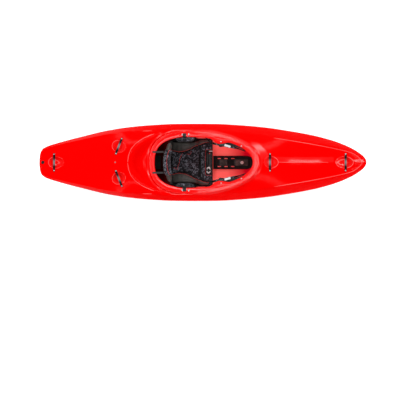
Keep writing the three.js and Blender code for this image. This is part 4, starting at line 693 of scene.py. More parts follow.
def sectionRows(x, edge):
    # from the keel: flat floor, quarter-ellipse chine, a side that leans in by a parabola, then the deck to its edge
    x, edge = x[:, None], edge[:, None]
    roundness, halfBeam = linesAt(x)
    keel, gunwale = (heightAt(t, x, roundness) for t in ("keelShares", "gunwaleShares"))
    flat = halfBeam * interpolate(hull["flatShares"], x / hull["length"])
    reach = ridgeReach(x, halfBeam)
    ridge = deckHeight(x, reach)
    knee = mix(gunwale, ridge, hull["kneeShare"])
    k = np.arange(hull["flatSteps"])[None] / hull["flatSteps"]
    floor = stack(x, flat * k, keel + 0 * k)
    angle = math.pi / 2 * np.arange(hull["chineSteps"])[None] / hull["chineSteps"]
    chine = stack(x + 0 * angle, mix(flat, halfBeam, np.sin(angle)), mix(gunwale, keel, np.cos(angle)))
    t = np.arange(hull["sideSteps"])[None] / hull["sideSteps"]
    side = stack(x + 0 * t, mix(halfBeam, mix(halfBeam, reach, t), t), mix(mix(gunwale, knee, t), mix(knee, ridge, t), t))
    t = np.arange(hull["deckSteps"] + 1)[None] / hull["deckSteps"]
    y = mix(reach, edge, t)
    deck = stack(x + 0 * t, y, deckHeight(x, y) + deckDetail(x, y))
    return np.concatenate([floor, chine, side, dished(deck)], 1)


def stations():
    tip = np.array([0, 0.1, 0.4, 0.9, 1.6, 2.6, 4, 6, 8.5, 11.5, 15, 19, 24, 30, 36])
    half = hull["length"] / 2
    angle = math.pi * (1 - np.arange(hull["slitSteps"] + 1) / hull["slitSteps"])
    slitX, slitY = oval(angle, even(coaming["overhang"]))
    slitY[[0, -1]] = 0
    stern = np.arange(-half + 42, slitX[0] - 3, hull["rowStep"])
    bow = np.arange(slitX[-1] + 3.5, half - 40, hull["rowStep"])
    x = np.concatenate([-half + tip, stern, slitX, bow, half - tip[::-1]])
    first = len(tip) + len(stern)
    edge = np.zeros(len(x))
    edge[first:first + len(slitX)] = slitY
    return x, edge, first, angle


def innerOf(rows, first, last):
    # every point moved in by the wall along the surface's own normal, the hull's mirror image standing in beside
    # the keel and the centre line
    along = np.gradient(rows, axis=0)
    before = np.concatenate([rows[:, 1:2] * mirrorY, rows[:, :-1]], 1)
    after = np.concatenate([rows[:, 1:], rows[:, -2:-1] * mirrorY], 1)
    after[first + 1:last, -1] = rows[first + 1:last, -1]
    normal = unit(np.cross(after - before, along))
    normal[:, 0, 1] = 0
    normal[:first + 1, -1, 1] = 0
    normal[last:, -1, 1] = 0
    return rows - hull["wall"] * unit(normal)


def rounded(points, radii, steps=4):
    # corners of each row's polyline replaced by short parabolas
    made = [points[:, :1]]
    t = np.linspace(0, 1, steps)[None, :, None]
    for k in range(1, points.shape[1] - 1):
        corner, back, on = points[:, k:k + 1], points[:, k - 1:k], points[:, k + 1:k + 2]
        reach = [np.minimum(radii[k], 0.45 * np.linalg.norm(p - corner, axis=-1, keepdims=True)) for p in (back, on)]
        start, end = (corner + unit(p - corner) * r for p, r in zip((back, on), reach))
        made.append(mix(mix(start, corner, t), mix(corner, end, t), t))
    return np.concatenate([*made, points[:, -1:]], 1)


def coamingRows(angle, outside, under):
    def at(inset, drop, hook=0.0):
        x, y = oval(angle, inset)
        y = np.maximum(0, y - hook)
        y[[0, -1]] = 0
        return stack(x, y, rimHeight(x) - drop)

    c = coaming
    openX = oval(angle, c["opening"])[0]
    hook = hookReach(openX)
    side, end = np.sin(angle) ** 2, np.where(np.cos(angle) < 0, c["rearDrop"], c["frontDrop"])
    drop = mix(end, c["drop"], side) + c["hookDrop"] * hook / c["hook"]
    bandX = oval(angle, even(c["bandWidth"]))[0]
    start, end, depth, step = c["recess"]
    recess = depth * smooth((bandX - start) / step) * smooth((end - bandX) / step)
    teeth = c["toothDepth"] * (1 - smooth((bandX - start + step) / step) * smooth((end + step - bandX) / step))
    inner = c["overhang"] + hull["wall"]
    foot = at(even(inner), 0)
    foot[:, 2] = under[:, 2]
    rows = [
        (outside, 0), (at(even(c["overhang"]), c["thickness"]), 2.5), (at(even(0), c["thickness"] + c["droop"]), 2),
        (at(even(0), c["droop"] + recess * 0.3), 2.6), (at(even(7), 0.9 + recess), 2),
        *[(at(even(inset), c["bandDrop"] + low * teeth + recess), 0.5)
          for k in range(c["teeth"]) for inset, low in ((9 + 5.3 * k, 0), (13.6 + 5.3 * k, 1))],
        (at(even(c["bandWidth"] - 3), c["bandDrop"] + recess, hook * 0.25), 3),
        (at(even(c["bandWidth"] + 1), c["bandDrop"] + 0.4, hook * 0.35), 3),
        (at(c["opening"], drop, hook), 3.2), (at(c["opening"], drop + c["thickness"], hook), 2.8),
        (at(even(inner), c["thickness"]), 3), (foot, 3), (under, 0),
    ]
    return rounded(np.stack([p for p, _ in rows], 1), [r for _, r in rows])


def capOf(row, x, z):
    return stack(np.full(len(row), x), 0.0, z)[None]


def makeHull():
    x, edge, first, angle = stations()
    last = first + hull["slitSteps"]
    outer = sectionRows(x, edge)
    inner = innerOf(outer, first, last)[:, ::2]
    half = hull["length"] / 2
    deep = np.where((x > -half + 14) & (x < half - 22))[0]
    keep = np.unique(np.concatenate([deep[:1], np.arange(first, deep[0], -2), np.arange(first, last + 1),
                                     np.arange(last, deep[-1], 2), deep[-1:]]))
    lining = inner[keep]
    ends = [capOf(r[0], r[0, 0, 0], r[..., 2].mean()) for r in (lining[:1], lining[-1:])]
    shape = Shape()
    closed = np.concatenate([capOf(outer[0], -half, hull["sternTipHeight"]), outer,
                             capOf(outer[-1], half, hull["bowTipHeight"])])
    middle = (closed[1:, 1:] + closed[:-1, :-1] + closed[1:, :-1] + closed[:-1, 1:]) / 4
    deckFrom = hull["flatSteps"] + hull["chineSteps"] + hull["sideSteps"]
    glossy = inDish(middle)
    glossy[:, deckFrom:] |= outsideRiser(middle[:, deckFrom:, 0], middle[:, deckFrom:, 1]) < hull["plinthGloss"]
    # polished on the port side only: beside the spines and ahead of the coaming
    px, py = middle[:, deckFrom:, 0], middle[:, deckFrom:, 1]
    near = outsideRiser(px, py) < hull["patchReach"]
    patch = near & (px > hull["patchFrom"]) & (py > hull["patchSides"][0]) & (py < hull["patchSides"][1])
    for start, end, _, half in hull["spines"]:
        patch |= (px > start) & (px < end) & (py < half)
    polished = glossy.copy()
    polished[:, deckFrom:] |= patch
    for side, shiny in ((1, polished), (-1, glossy)):
        for finish, cells in ((0, ~shiny), (2, shiny)):
            shape.grid(closed * [1, side, 1], flip=side < 0, finish=finish, mask=cells)
    shape.both(np.concatenate([ends[0], lining, ends[1]]), flip=True, finish=1)
    shape.both(coamingRows(angle, outer[first:last + 1, -1], inner[first:last + 1, -1]), finish=2)
    addBosses(shape)
    addDishEdges(shape)
    addCreases(shape)
    piece = shape.build("hullShell", ["shellOuter", "shellInner", "shellRim", "shellCreaseHighlight"], "shell", sharp=50, outward=False)
    return settle(piece, "hull", "hull_shell")


def lathe(profile, sides=32, corners=None, start=0.0):
    # rings of a profile of (radius, height) turned about the up axis; a ring in corners is a regular polygon instead
    theta = start + 2 * math.pi * np.arange(sides) / sides
    profile = np.array(profile, float)
    radius = np.repeat(profile[:, :1], sides, 1)
    for ring, count in (corners or {}).items():
        wedge = 2 * math.pi / count
        radius[ring] = profile[ring, 0] * math.cos(wedge / 2) / np.cos((theta - start) % wedge - wedge / 2)
    return stack(radius * np.cos(theta), radius * np.sin(theta), np.repeat(profile[:, 1:], sides, 1))


def placedAt(points, origin, axes):
    return origin + points @ axes


def camel(node):
    first, *rest = node.split("_")
    return first + "".join(word.capitalize() for word in rest)


upright = np.eye(3)
boss = {"rise": 4.5, "radius": 12.5, "flare": 2.5, "depth": 7.0}
handle = {"span": 136.0, "width": 17.0, "thickness": 6.0, "rise": 7.0, "foot": 9.0, "footThickness": 4.0, "gap": 0.35}
plug = {"x": -1321.0, "radius": 13.5, "height": 4.5, "bossRadius": 16.0, "bossHeight": 2.5, "stem": 14.0}


def footOf(name, side):
    # where a handle's foot stands: its place on the deck in the handle's frame, and the boss's top there
    origin, axes = handleFrames[name]
    foot = origin + axes[1] * side * handle["span"] / 2
    return (deckHeight(foot[0], foot[1]) - foot[2]) * axes[2, 2] + boss["rise"]


def addDishEdges(shape):
    # a thin rolled edge where each dish meets the deck, found along rays from its middle by halving; it takes the pale
    # crease finish as a painted highlight, thickest where the highlight falls
    angle = 2 * math.pi * np.arange(120) / 120
    for name, (_, _, _, length, width, ahead, pointed) in handlePlaces.items():
        origin, axes = handleFrames[name]
        low, high = np.zeros(len(angle)), np.full(len(angle), 1.0)
        for _ in range(24):
            r = (low + high) / 2
            a, b = r * np.cos(angle), r * np.sin(angle)
            sharp = (a * pointed > 0) & (pointed != 0)
            inside = 1 - np.abs(a) ** np.where(sharp, dishes["pointPower"], 2.0) - b ** 2
            bowl = dishes["lift"] - dishes["depth"] * np.sqrt(np.clip(inside, 0, 1))
            local = stack((a * dishes["spread"] / 2 + ahead) * length, b * dishes["spread"] * width / 2, 0)
            at = placedAt(local, origin, axes)
            level = (deckHeight(at[:, 0], at[:, 1]) - at[:, 2]) * axes[2, 2]
            low, high = np.where(bowl < level, r, low), np.where(bowl < level, high, r)
        local[:, 2] = level + dishes["edgeUp"]
        path = placedAt(local, origin, axes)
        lit = 0.5 + 0.5 * np.cos(angle) * (1 if name.startswith(("bow", "fore")) else -1)
        most = dishes["edge"] * {"b": 1.0, "f": 0.75, "s": 0.4, "r": 0.55}[name[0]]
        tube(shape, path, (mix(0.15, most, smooth(lit * 1.8 - 0.7)))[:, None, None], 6, closed=True, finish=3)


# Folded creases of the deck, from point to point, as (x, y, half width); "ridge" ones follow the deck's outer edge
creases = {
    "foredeck": [(582, 202, 0.6), (640, 193, 2.2), (849, 159, 1.9), (1000, 131, 1.4), (1141, 102, 1.3), (1234, 77, 1.8),
                 (1290, 40, 1.6), (1316, 2, 1.2)],
    "bowl": [(-621, 2, 1.6), (-615, 55, 1.6), (-594, 110, 1.5), (-555, 156, 1.2), (-500, 195, 1.4), (-440, 222, 2.4), (-401, 236, 1.0)],
}
creaseSpine = [(628, 1.0), (700, 2.0), (900, 1.8), (1034, 0.8)]
ridgeCreases = [(-499, -419, 1.9), (-268, -81, 1.7)]


def addCreases(shape):
    # each one a fine raised bead, mostly sunk in the deck, painted paler than the deck as a painted highlight
    def bead(x, y, half):
        z = deckHeight(x, y) + deckDetail(x, y) + 0.25 * half
        tube(shape, stack(x, y, z), half[:, None, None], 6, finish=3)

    for points in creases.values():
        points = np.array(points, float)
        t = np.linspace(0, len(points) - 1, 90)
        rounded3 = [np.interp(t, np.arange(len(points)), points[:, k]) for k in range(3)]
        kernel = np.ones(9) / 9
        x, y, half = (np.convolve(np.pad(v, 4, mode="edge"), kernel, "valid") for v in rounded3)
        for side in (1, -1):
            bead(x, y * side, half)
    x = np.linspace(creaseSpine[0][0], creaseSpine[-1][0], 60)
    bead(x, 0 * x, np.interp(x, *np.array(creaseSpine, float).T))
    for start, end, half in ridgeCreases:
        x = np.linspace(start, end, 40)
        y = ridgeReach(x, linesAt(x)[1]) - 1
        for side in (1, -1):
            bead(x, y * side, half * np.sqrt(np.clip(4 * (x - start) * (end - x) / (end - start) ** 2, 0.01, 1)))


def addBosses(shape):
    # small flared islands under each foot and round the plug, which run down through the shell
    radius, flare = boss["radius"], boss["flare"]
    for name in handlePlaces:
        origin, axes = handleFrames[name]
        for side in (-1, 1):
            top = footOf(name, side)
            rings = [(0, top), (radius - 2, top), (radius - 0.6, top - 0.5), (radius, top - 1.8),
                     (radius + 0.4, top - boss["rise"] + 1.2), (radius + flare, top - boss["rise"] - 0.4),
                     (radius + flare, top - boss["depth"]), (0, top - boss["depth"])]
            ring = lathe(rings, 28) + [0, side * handle["span"] / 2, 0]
            shape.grid(placedAt(ring, origin, axes), closeCols=True, flip=True)
    seat = deckHeight(plug["x"], 0.0) + plug["bossHeight"]
    radius = plug["bossRadius"]
    rings = [(0, seat), (radius - 1.5, seat), (radius - 0.4, seat - 0.5), (radius, seat - 1.4), (radius + 2, seat - 3.6),
             (radius + 2, seat - 6), (0, seat - 6)]
    shape.grid(lathe(rings, 32) + [plug["x"], 0, 0], closeCols=True, flip=True)


hullPiece = makeHull()
print("hull:", len(hullPiece.data.polygons), "faces")


# Small round parts
bolts = {"head": 6.0, "height": 4.0, "shank": 3.0, "socket": 2.3, "socketDepth": 2.2}


def boltRings(length, head=None, height=None):
    b = bolts
    r, h = head or b["head"], height or b["height"]
    profile = [(0, -length), (b["shank"], -length), (b["shank"], 0), (r - 0.4, 0), (r, 0.4), (r * 0.97, h * 0.35),
               (r * 0.86, h * 0.68), (r * 0.68, h * 0.9), (b["socket"] + 0.9, h), (b["socket"] + 0.4, h),
               (b["socket"] + 0.3, h - 0.3), (b["socket"] + 0.2, h - b["socketDepth"]), (0, h - b["socketDepth"] - 0.4)]
    return lathe(profile, 24, {9: 6, 10: 6, 11: 6})


def addBolt(shape, origin, axes, length, head=None, height=None):
    shape.grid(placedAt(boltRings(length, head, height), origin, axes), closeCols=True, flip=True)


def handleBolts():
    for name in handlePlaces:
        origin, axes = handleFrames[name]
        for side, word in ((1, "left"), (-1, "right")):
            seat = footOf(name, side) + 2 * handle["gap"] + handle["footThickness"]
            shape = Shape()
            addBolt(shape, origin + axes[1] * side * handle["span"] / 2 + axes[2] * seat, axes, 14)
            node = f"{name}_bolt_{word}"
            settle(shape.build(camel(node), ["steel"], "steel"), "hull", node)


def nodeMiddle(node):
    low, high = (np.array(corner) * 1000 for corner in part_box(node))
    return (low + high) / 2, low, high


def rimBolts():
    for kind, washer in (("seat_bolt_rear", True), ("seat_bolt_front", True), ("brace_bolt_rear", False),
                         ("brace_bolt_front", False)):
        for side, word in ((1, "left"), (-1, "right")):
            node = f"{kind}_{word}"
            middle, low, high = nodeMiddle(node)
            seat = high[2] - bolts["height"]
            shape = Shape()
            addBolt(shape, np.array([middle[0], middle[1], seat]), upright, seat - low[2])
            if washer:
                addMark(shape, middle[0], middle[1] + side * 4, seat, side)
            settle(shape.build(camel(node), ["steel", "buckle"], "steel"), "hull", node)


def addMark(shape, x, y, z, side):
    # a three-cornered washer plate that points away from the cockpit
    theta = np.linspace(0, 2 * math.pi, 37)[:-1]
    wedge = 2 * math.pi / 3
    radius = 8.5 * math.cos(wedge / 2) / np.cos((theta % wedge) - wedge / 2) * 0.86 + 1.5
    turn = theta + side * math.pi / 2
    ring = np.stack([x + radius * np.cos(turn), y + radius * np.sin(turn)], -1)
    middle = np.array([x, y])
    rows = [stack(*(middle + (ring - middle) * s).T, z + h) for s, h in ((0.0, 0.1), (1, 0.1), (1.0, 0.9), (0.94, 1.2), (0.0, 1.2))]
    shape.grid(np.stack(rows), closeCols=True, finish=1)


def sideBolts():
    for kind in ("rail_bolt_rear", "rail_bolt_front"):
        for side, word in ((1, "left"), (-1, "right")):
            node = f"{kind}_{word}"
            middle, low, high = nodeMiddle(node)
            outer = max(abs(low[1]), abs(high[1]))
            axes = np.array([[1, 0, 0], [0, 0, -side], [0, side, 0]], float)
            shape = Shape()
            addBolt(shape, np.array([middle[0], side * (outer - bolts["height"]), middle[2]]), axes, 20)
            settle(shape.build(camel(node), ["steel"], "steel"), "hull", node)


def deckScrews():
    for node, head in (("track_bolt", 12.0), ("pillar_screw", 8.0)):
        middle, low, high = nodeMiddle(node)
        shape = Shape()
        seat = high[2] - bolts["height"]
        addBolt(shape, np.array([middle[0], middle[1], seat]), upright, seat - low[2])
        # the washer under the head
        rings = [(3.4, 0.05), (head - 0.4, 0.05), (head, 0.4), (head - 0.5, 1.1), (3.4, 1.3), (3.4, 0.05)]
        shape.grid(lathe(rings, 32) + [middle[0], middle[1], seat - 1.3], closeCols=True, flip=True, finish=1)
        finish = ["greyBolt", "greyBolt"] if node == "pillar_screw" else ["steel", "buckle"]
        settle(shape.build(camel(node), finish, "steel"), "hull", node)


def drainPlug():
    # a knurled cap with a coin slot across it
    seat = deckHeight(plug["x"], 0.0) + plug["bossHeight"] + 0.35
    top = seat + plug["height"]
    theta = 2 * math.pi * np.arange(96) / 96
    rows = []
    profile = [(0, seat - plug["stem"], 0), (7, seat - plug["stem"], 0), (7, seat, 0), (13.1, seat, 1), (13.5, seat + 0.6, 1),
               (13.5, top - 1.1, 1), (12.7, top - 0.2, 0.4), (11.6, top, 0), (7, top, 0), (3, top, 0), (0, top, 0)]
    for radius, z, knurl in profile:
        r = radius - 0.35 * knurl * (0.5 + 0.5 * np.cos(24 * theta))
        x, y = r * np.cos(theta), r * np.sin(theta)
        slot = 2.2 * smooth((2.1 - np.abs(y)) / 0.9) * smooth((9.5 - np.abs(x)) / 1.5) * (z > top - 0.05)
        rows.append(stack(x + plug["x"], y, z - slot))
    shape = Shape()
    shape.grid(np.stack(rows), closeCols=True, flip=True)
    settle(shape.build("drainPlug", ["blackPlastic"], "black_plastic"), "plug", "drain_plug")


def handleBars():
    # an arched strip between two feet; each section is a squarish oval, and the ends are round in plan
    t = np.linspace(0, 1, 22)[:, None]
    half, end = handle["span"] / 2, handle["span"] / 2 + handle["foot"]
    for name in handlePlaces:
        origin, axes = handleFrames[name]
        left, right = (footOf(name, side) + handle["gap"] for side in (1, -1))
        crown, under = handle["rise"], handle["rise"] - handle["thickness"]

        def arch(foot, top):
            a, b, c = ([half - handle["foot"], foot], [half / 2, top], [0.0, top])
            return (1 - t) ** 2 * np.array([a]) + 2 * t * (1 - t) * np.array([b]) + t ** 2 * np.array([c])

        tip = end - np.array([0, 0.25, 1.0, 2.2, 3.8, 5.6, 7.5, 12, 17.9])
        flare = np.sqrt(np.clip(1 - (np.clip(tip - end + 7.5, 0, None) / 7.5) ** 2, 0.0001, 1))
        sidesOf = []
        for foot in (left, right):
            low, high = arch(foot, under), arch(foot + handle["footThickness"], crown)
            y = np.concatenate([tip, low[:, 0]])
            lo = np.concatenate([np.full(len(tip), foot), low[:, 1]])
            hi = np.concatenate([np.full(len(tip), foot + handle["footThickness"]), high[:, 1]])
            wide = np.concatenate([flare, np.ones(len(low))])
            sidesOf.append(np.stack([y, lo, hi, wide], -1))
        rows = np.concatenate([sidesOf[0] * [1, 1, 1, 1], (sidesOf[1] * [-1, 1, 1, 1])[::-1][1:]])
        theta = 2 * math.pi * np.arange(20) / 20
        c, s = np.cos(theta), np.sin(theta)
        x = handle["width"] / 2 * np.sign(c) * np.abs(c) ** 0.45
        z = np.sign(s) * np.abs(s) ** 0.6
        y, lo, hi, wide = (rows[:, k, None] for k in range(4))
        ring = stack(x * wide, y + 0 * x, (lo + hi) / 2 + (hi - lo) / 2 * z)
        shape = Shape()
        cap = lambda row: np.repeat(row.mean(0, keepdims=True), len(row), 0)[None]
        ring = np.concatenate([cap(ring[0]), ring, cap(ring[-1])])
        shape.grid(placedAt(ring, origin, axes), closeCols=True, along=stack(ring[..., 1], 0, 0))
        settle(shape.build(camel(name) + "Bar", ["handleBar"], "handle_bar", sharp=60), "hull", name)


handleBars()
handleBolts()
rimBolts()
sideBolts()
deckScrews()
drainPlug()
print("handles, bolts and plug: made")

# Pads
seat = {
    "rear": -272.0, "front": 82.0, "flatHalf": 95.0, "top": 22.0, "rise": 14.0, "bend": -34.0, "hinge": -20.0,
    "slopeReach": 176.0, "slopeRise": 26.0, "sideRise": 60.0, "frontHalf": 194.0, "thickness": 5.0,
    "slopeEnd": -33.0, "slopeStart": -59.0, "wingRear": -224.0, "wingFront": -52.0,
}
padding = {
    "rear": -255.0, "front": -24.6, "thickness": 18.0, "half": 170.0, "rest": 0.8,
    "halfShares": [[0, 0.57], [0.074, 0.54], [0.172, 0.505], [0.3175, 0.55], [0.442, 0.645], [0.579, 0.79],
                   [0.685, 0.865], [0.81, 0.955], [1, 1]],
    "channelShare": 0.44, "channelDepth": 3.0, "channelWidth": 6.0,
}
cloth = {"pressure": 4.0, "frames": 20}


def shareBetween(value, start, end):
    return np.clip((value - start) / (end - start), 0, 1)


def panHeight(x):
    return seat["top"] + seat["rise"] * np.clip((x - seat["bend"]) / (seat["front"] - seat["hinge"]), 0, 1)


def panAt(x, y):
    # the pan is flat in its middle, slopes up to its side and then more steeply to its wing
    s = seat
    level = panHeight(x)
    slope = shareBetween(x, s["slopeEnd"], s["slopeStart"])
    side = np.minimum(shareBetween(x, s["rear"], s["wingRear"]), shareBetween(x, s["hinge"], s["wingFront"]))
    wing = ovalHalf(np.clip(x, s["wingRear"], s["wingFront"]), coaming["opening"]) - 0.7
    edge = mix(mix(s["frontHalf"], s["slopeReach"], slope) + s["thickness"], wing, side * slope)
    bend = mix(s["frontHalf"] - s["thickness"], s["slopeReach"], slope)
    low, high = level + s["slopeRise"] * slope, level + mix(s["slopeRise"], s["sideRise"], side) * slope
    away = np.abs(y)
    inner = mix(level, low, (away - s["flatHalf"]) / (bend - s["flatHalf"]))
    outer = mix(low, high, (away - bend) / np.maximum(edge - bend, 1))
    return np.where(away <= s["flatHalf"], level, np.where(away <= bend, inner, outer))


def padHalf(x):
    return padding["half"] * interpolate(padding["halfShares"], shareBetween(x, padding["rear"], seat["front"]))


def plump(t):
    # how full a cushion is from its middle (0) to its seam (1 or -1)
    return (1 - np.abs(t) ** 3.2) ** (1 / 3.2)


def spread(count):
    return np.sin(math.pi / 2 * np.linspace(-1, 1, count))


def cushion(shape, at, across=41, along=41):
    # two faces that meet along the seam, from a function of (u, v, face)
    v, u = np.meshgrid(spread(along), spread(across), indexing="ij")
    shape.grid(at(u, v, 1.0))
    shape.grid(at(u, v, -1.0), flip=True)
    return shape


def coordinates(mesh, what="co"):
    made = np.empty(len(mesh.vertices) * 3)
    (mesh.vertices if what == "co" else mesh.vertex_normals).foreach_get("co" if what == "co" else "vector", made)
    return made.reshape(-1, 3)


def applied(piece):
    graph = bpy.context.evaluated_depsgraph_get()
    mesh = bpy.data.meshes.new_from_object(piece.evaluated_get(graph), preserve_all_data_layers=True, depsgraph=graph)
    piece.modifiers.clear()
    old, piece.data = piece.data, mesh
    bpy.data.meshes.remove(old)
    mesh.name = piece.name
    return piece


def reshaped(piece, change):
    points = change(coordinates(piece.data) * 1000)
    piece.data.vertices.foreach_set("co", (points / 1000).ravel())
    piece.data.update()
    return piece


def remeshed(piece, voxel):
    made = piece.modifiers.new("Remesh", "REMESH")
    made.mode, made.voxel_size = "VOXEL", voxel / 1000
    return applied(piece)


def puffed(piece, voxel, cap, keep):
    # the remeshed shape swells as cloth under pressure; no point moves further than the cap, and keep holds it to
    # what it rests on
    remeshed(piece, voxel)
    start = coordinates(piece.data) * 1000
    made = piece.modifiers.new("Cloth", "CLOTH")
    made.settings.use_pressure = True
    made.settings.uniform_pressure_force = cloth["pressure"]
    made.settings.effector_weights.gravity = 0
    made.settings.quality = 5
    made.point_cache.frame_end = cloth["frames"]
    for frameNumber in range(1, cloth["frames"] + 1):
        scene.frame_set(frameNumber)
    graph = bpy.context.evaluated_depsgraph_get()
    shift = coordinates(piece.evaluated_get(graph).data) * 1000 - start
    piece.modifiers.clear()
    scene.frame_set(1)
    length = np.linalg.norm(shift, axis=1, keepdims=True)
    moved = start + shift * np.minimum(1, cap / np.maximum(length, 1e-9))
    reshaped(piece, lambda points: moved)
    reshaped(piece, keep)
    fine = piece.modifiers.new("Fine", "SUBSURF")
    fine.levels = fine.render_levels = 1
    return applied(piece)


def finished(piece, keep=None, materials=None, sort=None):
    if keep:
        reshaped(piece, keep)
    piece.data.shade_smooth()
    if materials:
        piece.data.materials.clear()
        for finish in materials:
            piece.data.materials.append(finishes[finish])
    if sort:
        centres = np.empty(len(piece.data.polygons) * 3)
        piece.data.polygons.foreach_get("center", centres)
        piece.data.polygons.foreach_set("material_index", sort(centres.reshape(-1, 3) * 1000).astype(np.int32))
    return piece


def mirroredPiece(piece, name):
    # its twin on the starboard side
    twin = piece.copy()
    twin.data = piece.data.copy()
    twin.name = twin.data.name = name
    scene.collection.objects.link(twin)
    reshaped(twin, lambda points: points * mirrorY)
    twin.data.flip_normals()
    return twin


def channel(distance, width):
    return np.exp(-(distance / width) ** 2)


def topHeight(piece, places, reach=5.0):
    # height of a pad's upper face at places in plan: a weighted mean of the near points that face up
    points, normals = coordinates(piece.data) * 1000, coordinates(piece.data, "normal")
    points = points[normals[:, 2] > 0.25]
    gap = ((places[:, None, :2] - points[None, :, :2]) ** 2).sum(-1)
    weight = np.exp(-gap / (2 * (reach / 2.2) ** 2)) + 1e-9 / (1 + gap)
    return (weight * points[:, 2]).sum(1) / weight.sum(1)


def smoothPath(path, step, closed=False):
    # a curve through the points whose coordinates are each a cubic of the distance along them
    path = np.array(path, float)
    if closed:
        path = np.concatenate([path[-3:], path, path[:4]])
    place = np.concatenate([[0], np.cumsum(np.linalg.norm(np.diff(path[:, :3], axis=0), axis=1))])
    start, end = (place[3], place[-4]) if closed else (0, place[-1])
    s = np.linspace(start, end, max(3, int(round((end - start) / step)) + 1))
    made = np.stack([interpolate(np.stack([place, column], 1), s) for column in path.T], 1)
    return made[:-1] if closed else made


def seatCushionAt(rear, front, lift, thickness, half):
    def at(u, v, face):
        x = mix(rear, front, (v + 1) / 2)
        y = half(x) * u
        full = plump(u) * plump(v)
        return stack(x, y, panAt(x, y) + lift + thickness / 2 * (1 + face * full))
    return at


def onPan(lift):
    def keep(points):
        low = panAt(points[:, 0], points[:, 1]) + lift
        return stack(points[:, 0], points[:, 1], np.maximum(points[:, 2], low))
    return keep


def seatPad():
    p = padding
    at = seatCushionAt(p["rear"] - 12, p["front"] + 2.5, p["rest"], p["thickness"] - 3, lambda x: padHalf(x) - 1.5)
    piece = cushion(Shape(), at).build("seatPad", ["patternedFabric"], "patterned_fabric")
    puffed(piece, 5.0, 5.0, onPan(p["rest"]))

    def shaped(points):
        x, y, z = points.T
        half = padHalf(x)
        cut = channel(np.abs(y) - p["channelShare"] * half, p["channelWidth"]) * p["channelDepth"]
        cut = cut * shareBetween(z - panAt(x, y), 6, 12) * smooth((p["front"] - 8 - x) / 30) * smooth((x - p["rear"] - 8) / 30)
        limit = half + 1.5
        return stack(np.clip(x, p["rear"] - 14, p["front"] + 1.5), np.clip(y, -limit, limit), np.maximum(z - cut, panAt(x, y) + p["rest"]))

    finished(piece, shaped, ["patternedFabric"])
    return settle(piece, "hull", "seat_pad")


lifter = {"thickness": 4.0, "gap": 0.35, "half": 158.0, "pocketRear": 27.0, "pocketHalf": 103.0, "padThickness": 15.0}


def thighPad():
    # one strip across the rear and a leg each side of the pocket, made one by the remesh
    lift = lifter["thickness"] + lifter["gap"] + padding["rest"]
    half = lambda x: np.minimum(padHalf(x) - 2.5, lifter["half"] + seat["thickness"])
    rear, front, thick = seat["hinge"] - 1.0, seat["front"], lifter["padThickness"] - 1.0
    shape = Shape()
    cushion(shape, seatCushionAt(rear, lifter["pocketRear"], lift, thick, half))
    for side in (-1, 1):
        def leg(u, v, face):
            x = mix(rear + 14, front, (v + 1) / 2)
            y = side * mix(lifter["pocketHalf"] + 0.5, half(x), (u * side + 1) / 2)
            return stack(x, y, panAt(x, y) + lift + thick / 2 * (1 + face * plump(u) * plump(v)))
        cushion(shape, leg)
    piece = shape.build("thighPad", ["patternedFabric"], "patterned_fabric")
    puffed(piece, 4.5, 4.0, onPan(lift))

    def shaped(points):
        x, y, z = points.T
        inPocket = (x > lifter["pocketRear"] - 8) & (np.abs(y) < lifter["pocketHalf"] - 8)
        x = np.where(inPocket, np.minimum(x, lifter["pocketRear"] + 1), x)
        x = np.clip(x, rear - 0.5, front)
        return stack(x, y, np.maximum(z, panAt(x, y) + lift))

    finished(piece, shaped, ["patternedFabric"])
    return settle(piece, "leg_lifter", "thigh_pad")


bolsterSize = {
    "rear": -258.0, "front": 72.0, "outer": 173.0, "frontOuter": 190.0, "widening": 60.0, "from": -64.0,
    "thickness": 44.0, "clear": 3.0,
    "riseShares": [[0, 0.55], [0.28, 1], [0.5, 0.86], [0.75, 0.7], [1, 0.45]],
}


def bolsterLines(x):
    b = bolsterSize
    share = shareBetween(x, b["rear"], b["front"])
    outer = mix(b["outer"], b["frontOuter"], smooth((x - b["from"]) / b["widening"]))
    return padHalf(x) + b["clear"], outer, b["thickness"] * interpolate(b["riseShares"], share)


def bolster():
    b = bolsterSize

    def at(u, v, face):
        x = mix(b["rear"] + 1.5, b["front"] - 1.5, (v + 1) / 2)
        inner, outer, rise = bolsterLines(x)
        y = mix(inner + 1.5, outer - 1, (u + 1) / 2)
        seam, full = rise / 3, plump(u) * plump(v)
        return stack(x, y, panAt(x, y) + padding["rest"] + seam + np.where(face > 0, (rise - 3 - seam) * full, -seam * full))

    piece = cushion(Shape(), at, 31, 61).build("seatBolsterLeft", ["smoothFabric"], "smooth_fabric")
    puffed(piece, 4.5, 5.0, onPan(padding["rest"]))

    def shaped(points):
        x, y, z = points.T
        inner, outer, rise = bolsterLines(x)
        low = panAt(x, y) + padding["rest"]
        # a shallow sewn line along the crest and soft wrinkles that run across it
        across = shareBetween(y, inner, outer)
        crest = channel(y - mix(inner, outer, 0.62), 3.5) * 1.6 * smooth((x - b["rear"] - 20) / 30) * smooth((b["front"] - 30 - x) / 40)
        folds = 0.7 * np.sin(x / 9 + 2.2 * np.sin(x / 31)) * channel(across - 0.3, 0.35) * shareBetween(z - low, 8, 18)
        top = z - (crest - folds) * shareBetween(z - low, 6, 16)
        return stack(np.clip(x, b["rear"], b["front"]), np.clip(y, inner - 1, outer + 1), np.clip(top, low, low + rise + 2))

    finished(piece, shaped, ["smoothFabric"])
    return piece


hip = {"rear": -224.0, "front": -64.0, "thickness": 35.0, "top": 320.0, "bottom": 120.0, "clear": 1.3}


def hipDepth(u):
    return hip["thickness"] * mix(0.75, 1, 1 - u * u)


